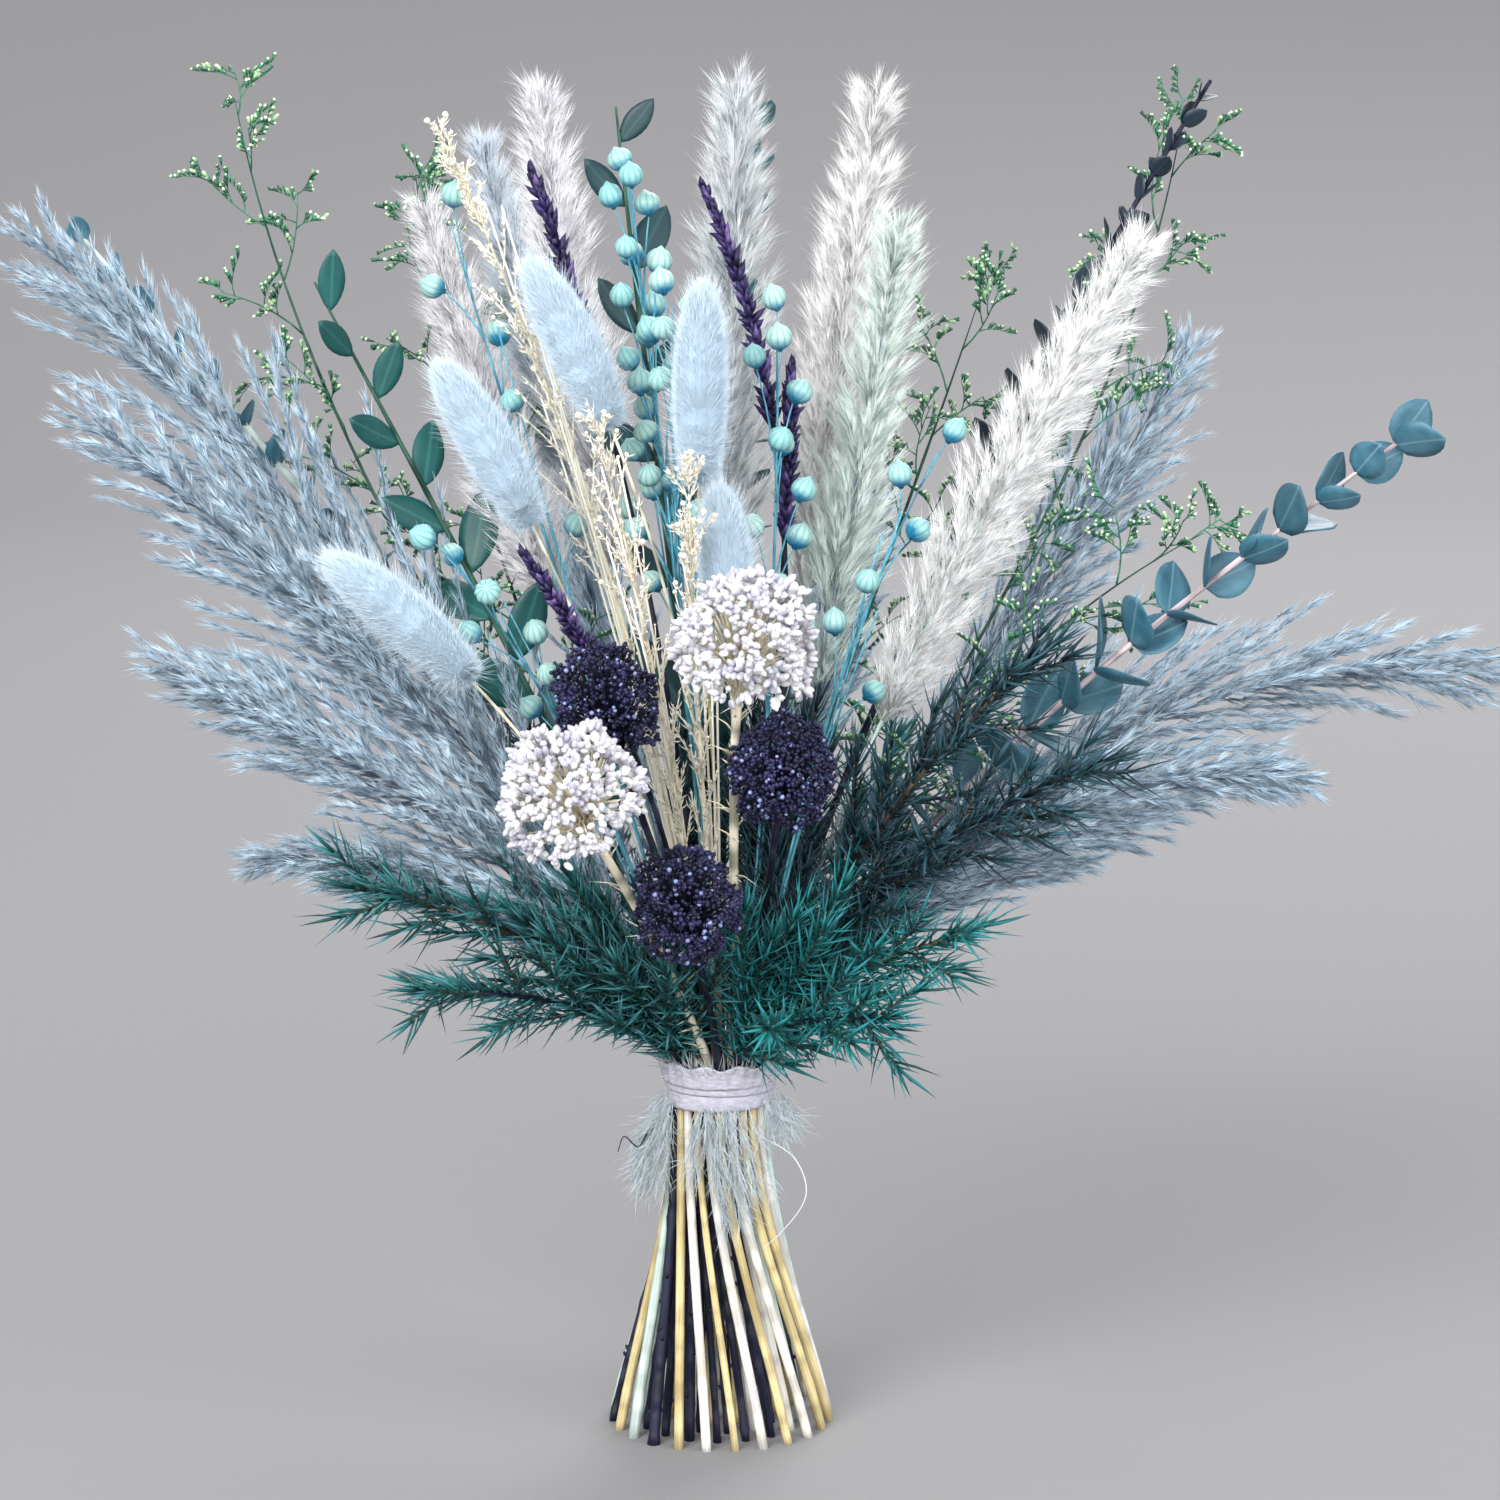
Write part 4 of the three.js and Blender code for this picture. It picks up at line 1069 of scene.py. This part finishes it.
# a smooth turn below, a narrow tight one over it, and a gathered one on top that stands out
tape = [
    wrap(tie_low.z, tie_low.z + band * 0.55, tie_radius - 0.9 * MM, belly=0.35 * MM, flare=0.0,
         pleat=0.05 * MM, seed=1),
    wrap(tie_low.z + band * 0.40, tie_low.z + band * 0.72, tie_radius - 0.1 * MM, belly=0.35 * MM,
         flare=0.0, pleat=0.10 * MM, seed=2),
    wrap(tie_low.z + band * 0.64, tie_high.z + 2.5 * MM, tie_radius + 0.4 * MM, belly=0.2 * MM,
         flare=1.3 * MM, pleat=0.55 * MM, seed=3),
]
# dark Fold patches laid by noise across the tape are painted shade of its folds; the rest is its pale face
pearly, given = effect("pearly_tape", ["Fold", "Face"])
place = wire(pearly, "ShaderNodeTexCoord").outputs["Object"]
drawn = wire(pearly, "ShaderNodeMapping", {"Vector": place, "Scale": (1.0, 1.0, 3.0)}).outputs[0]
crinkle = noise(pearly, 420.0, 3.0, drawn)
give(pearly, mixed(pearly, crinkle, given["Fold"], given["Face"]),
     scaled(pearly, crinkle, 0.35, 0.04), crinkle)
pearl = finish("pearl", pearly, ((0.55, 0.54, 0.63), (0.91, 0.895, 0.92)), bump=(0.5, 0.5),
               fixed={"Coat Weight": 0.5, "Coat Roughness": 0.15})
piece("tie_tape", tape, pearl, "tie")
for turn in tape:
    turn.free()

# ------------------------------------------------------------
# Loose fluff. Wisps of the plumes' hair are caught in the tie and hang over the stalks below
# it, with one long pale fibre that has sprung out in a loop and a dark curled tendril.
pale_fluff = fibre_finish("pale_fluff", (0.60, 0.66, 0.70), (0.80, 0.85, 0.87), (0.94, 0.96, 0.97),
                          contrast=0.4)
random = np.random.default_rng(8)
# bearing of each wisp round the tie, how far it hangs below the tie, and its sideways drift
WISPS = [(-91, 33, 6), (-82, 24, 4), (-100, 18, -2), (-146, 25, -4), (-160, 24, -6), (-173, 15, -5),
         (-30, 7, 2), (0, 8, 2), (60, 12, 3), (95, 20, 3), (130, 14, -3)]
STRANDS = 7             # in each wisp, every one a line of hairs that cling together
UPRIGHT_HAIRS = 420     # more hair stands up out of the top of the tie


def outwards(bearings):
    """Level directions at these bearings."""
    return np.stack([np.cos(bearings), np.sin(bearings), np.zeros(len(bearings))], axis=1)


def fanned(random, ways, spread):
    """Directions scattered round ways."""
    count = len(ways)
    sides = any_way(random, count)
    lean = np.radians(np.abs(random.normal(0, spread, count)))
    return turned(units(ways), sides, lean, random.uniform(0, ROUND, count))[0]


roots, ways, outs, longs = [], [], [], []
for bearing, hang, drift in WISPS:
    for _ in range(STRANDS):
        count = 9 + hang
        out = outwards(np.radians(bearing + random.normal(0, 8)) + random.normal(0, 0.02, count))
        down = np.sort(random.random(count))
        swing = random.normal(0, 1.5)
        belly = random.uniform(0.5, 3.5) * np.sin(down * math.pi * 0.8)
        off = tie_radius + 0.5 * MM + belly[:, None] * MM + down[:, None] * hang * 0.04 * MM
        spot = centre + out * off
        spot[:, 0] += (drift * down + swing * down) * MM
        spot[:, 2] = tie_low.z + 3 * MM - down * (3 + hang) * MM
        ways.append(fanned(random, out * 0.2 + [0.05 * (drift + swing), 0, -1.0], 27))
        roots.append(spot)
        outs.append(out)
        longs.append(random.uniform(6, 13, count) * MM)
out = outwards(random.uniform(0, 2 * math.pi, UPRIGHT_HAIRS))
roots.append(centre + out * (tie_radius * random.uniform(0.9, 1.04, UPRIGHT_HAIRS))[:, None]
             + [0, 0, tie_high.z - 1 * MM])
ways.append(fanned(random, out * 0.6 + [0, 0, 1.0], 28))
outs.append(out)
longs.append(random.uniform(5, 12, UPRIGHT_HAIRS) * MM)
roots, ways, outs, longs = (np.concatenate(rows) for rows in (roots, ways, outs, longs))
count = len(roots)
wisps = strew(hair, roots, ways, outs, longs, 0.11 * MM, random.uniform(-0.3, 0.35, count),
              tone=random.random(count), depth=random.random(count))


def fibre(way_in_mm, count, thick, thin):
    """A thin round fibre along a way that is given from under the tie's middle."""
    line, heading = flow(centre + np.array(way_in_mm) * MM, count)
    return rod(line, heading, np.linspace(thick, thin, count) * MM, sides=5)


loose = fibre([[12, -12, 92], [22, -14, 86], [26, -12, 74], [18, -14, 62], [13, -16, 58]], 40, 0.22, 0.10)
tendril = fibre([[-15, -8, 98], [-21, -9, 94], [-25, -10, 88], [-29, -9, 91], [-31, -8, 86]], 30, 0.4, 0.15)
piece("tie_fluff", [wisps, loose], pale_fluff, "tie")
piece("tie_tendril", [tendril], ink, "tie")

# ------------------------------------------------------------
# Floor, light and camera: a plain pale table top and soft studio light. The camera looks
# slightly down at the bouquet, from the height and side it is shown at.
waist = centre + [0.0, 0.0, (tie_low.z + tie_high.z) / 2]
SWEEP = 2.6            # how far the floor runs before it turns up into the backdrop
BEND = 1.5             # the radius of that turn
floor_mesh = bmesh.new()
edge = [(SWEEP + BEND * math.sin(a), BEND * (1 - math.cos(a))) for a in np.linspace(0, math.pi / 2, 20)]
ring = [floor_mesh.verts.new((waist[0] + x, waist[1], z)) for x, z in [(0.0, 0.0), *edge]]
line = [floor_mesh.edges.new(pair) for pair in zip(ring, ring[1:])]
bmesh.ops.spin(floor_mesh, geom=ring + line, cent=(waist[0], waist[1], 0), axis=(0, 0, 1),
               angle=2 * math.pi, steps=64, use_merge=True)
bmesh.ops.remove_doubles(floor_mesh, verts=floor_mesh.verts, dist=0.0001)
bmesh.ops.recalc_face_normals(floor_mesh, faces=floor_mesh.faces)
for face in floor_mesh.faces:
    face.smooth = True
table = bpy.data.meshes.new("table_top")
floor_mesh.to_mesh(table)
floor_mesh.free()
table_top = bpy.data.objects.new("table_top", table)
bpy.context.scene.collection.objects.link(table_top)
cloth = bpy.data.materials.new("pale_grey")
cloth.use_nodes = True
cloth.node_tree.nodes["Principled BSDF"].inputs["Base Color"].default_value = paint(0.54, 0.535, 0.54)
cloth.node_tree.nodes["Principled BSDF"].inputs["Roughness"].default_value = 0.9
table.materials.append(cloth)

world = bpy.data.worlds.new("studio")
world.use_nodes = True
world.node_tree.nodes["Background"].inputs["Color"].default_value = (0.62, 0.64, 0.68, 1.0)
world.node_tree.nodes["Background"].inputs["Strength"].default_value = 0.95
bpy.context.scene.world = world
bpy.context.scene.view_settings.view_transform = "Standard"


def soft_light(name, spot, size, power, colour=(1.0, 1.0, 1.0)):
    """A square lamp that faces the middle of the bouquet."""
    lamp = bpy.data.lights.new(name, "AREA")
    lamp.size, lamp.energy, lamp.color = size, power, colour
    made = bpy.data.objects.new(name, lamp)
    made.location = spot
    aim = Vector((waist[0], waist[1], 0.24)) - Vector(spot)
    made.rotation_euler = aim.to_track_quat("-Z", "Y").to_euler()
    bpy.context.scene.collection.objects.link(made)


soft_light("key", (-1.7, -2.5, 2.1), 1.9, 128)
soft_light("front", (0.5, -3.2, 1.5), 2.0, 56)
soft_light("fill", (2.6, -1.6, 1.3), 2.3, 58, (0.94, 0.97, 1.0))
soft_light("back", (0.7, 2.6, 2.3), 1.9, 84)

DOWN = math.radians(9.5)
DISTANCE = 1.25
aim = (waist[0] + 0.009, waist[1], waist[2] + 0.102)
camera = bpy.data.cameras.new("camera")
camera.lens, camera.sensor_width = 100.0, 36.0
eye = bpy.data.objects.new("camera", camera)
eye.location = (aim[0], aim[1] - DISTANCE * math.cos(DOWN), aim[2] + DISTANCE * math.sin(DOWN))
eye.rotation_euler = (math.radians(90) - DOWN, 0.0, 0.0)
bpy.context.scene.collection.objects.link(eye)
bpy.context.scene.camera = eye
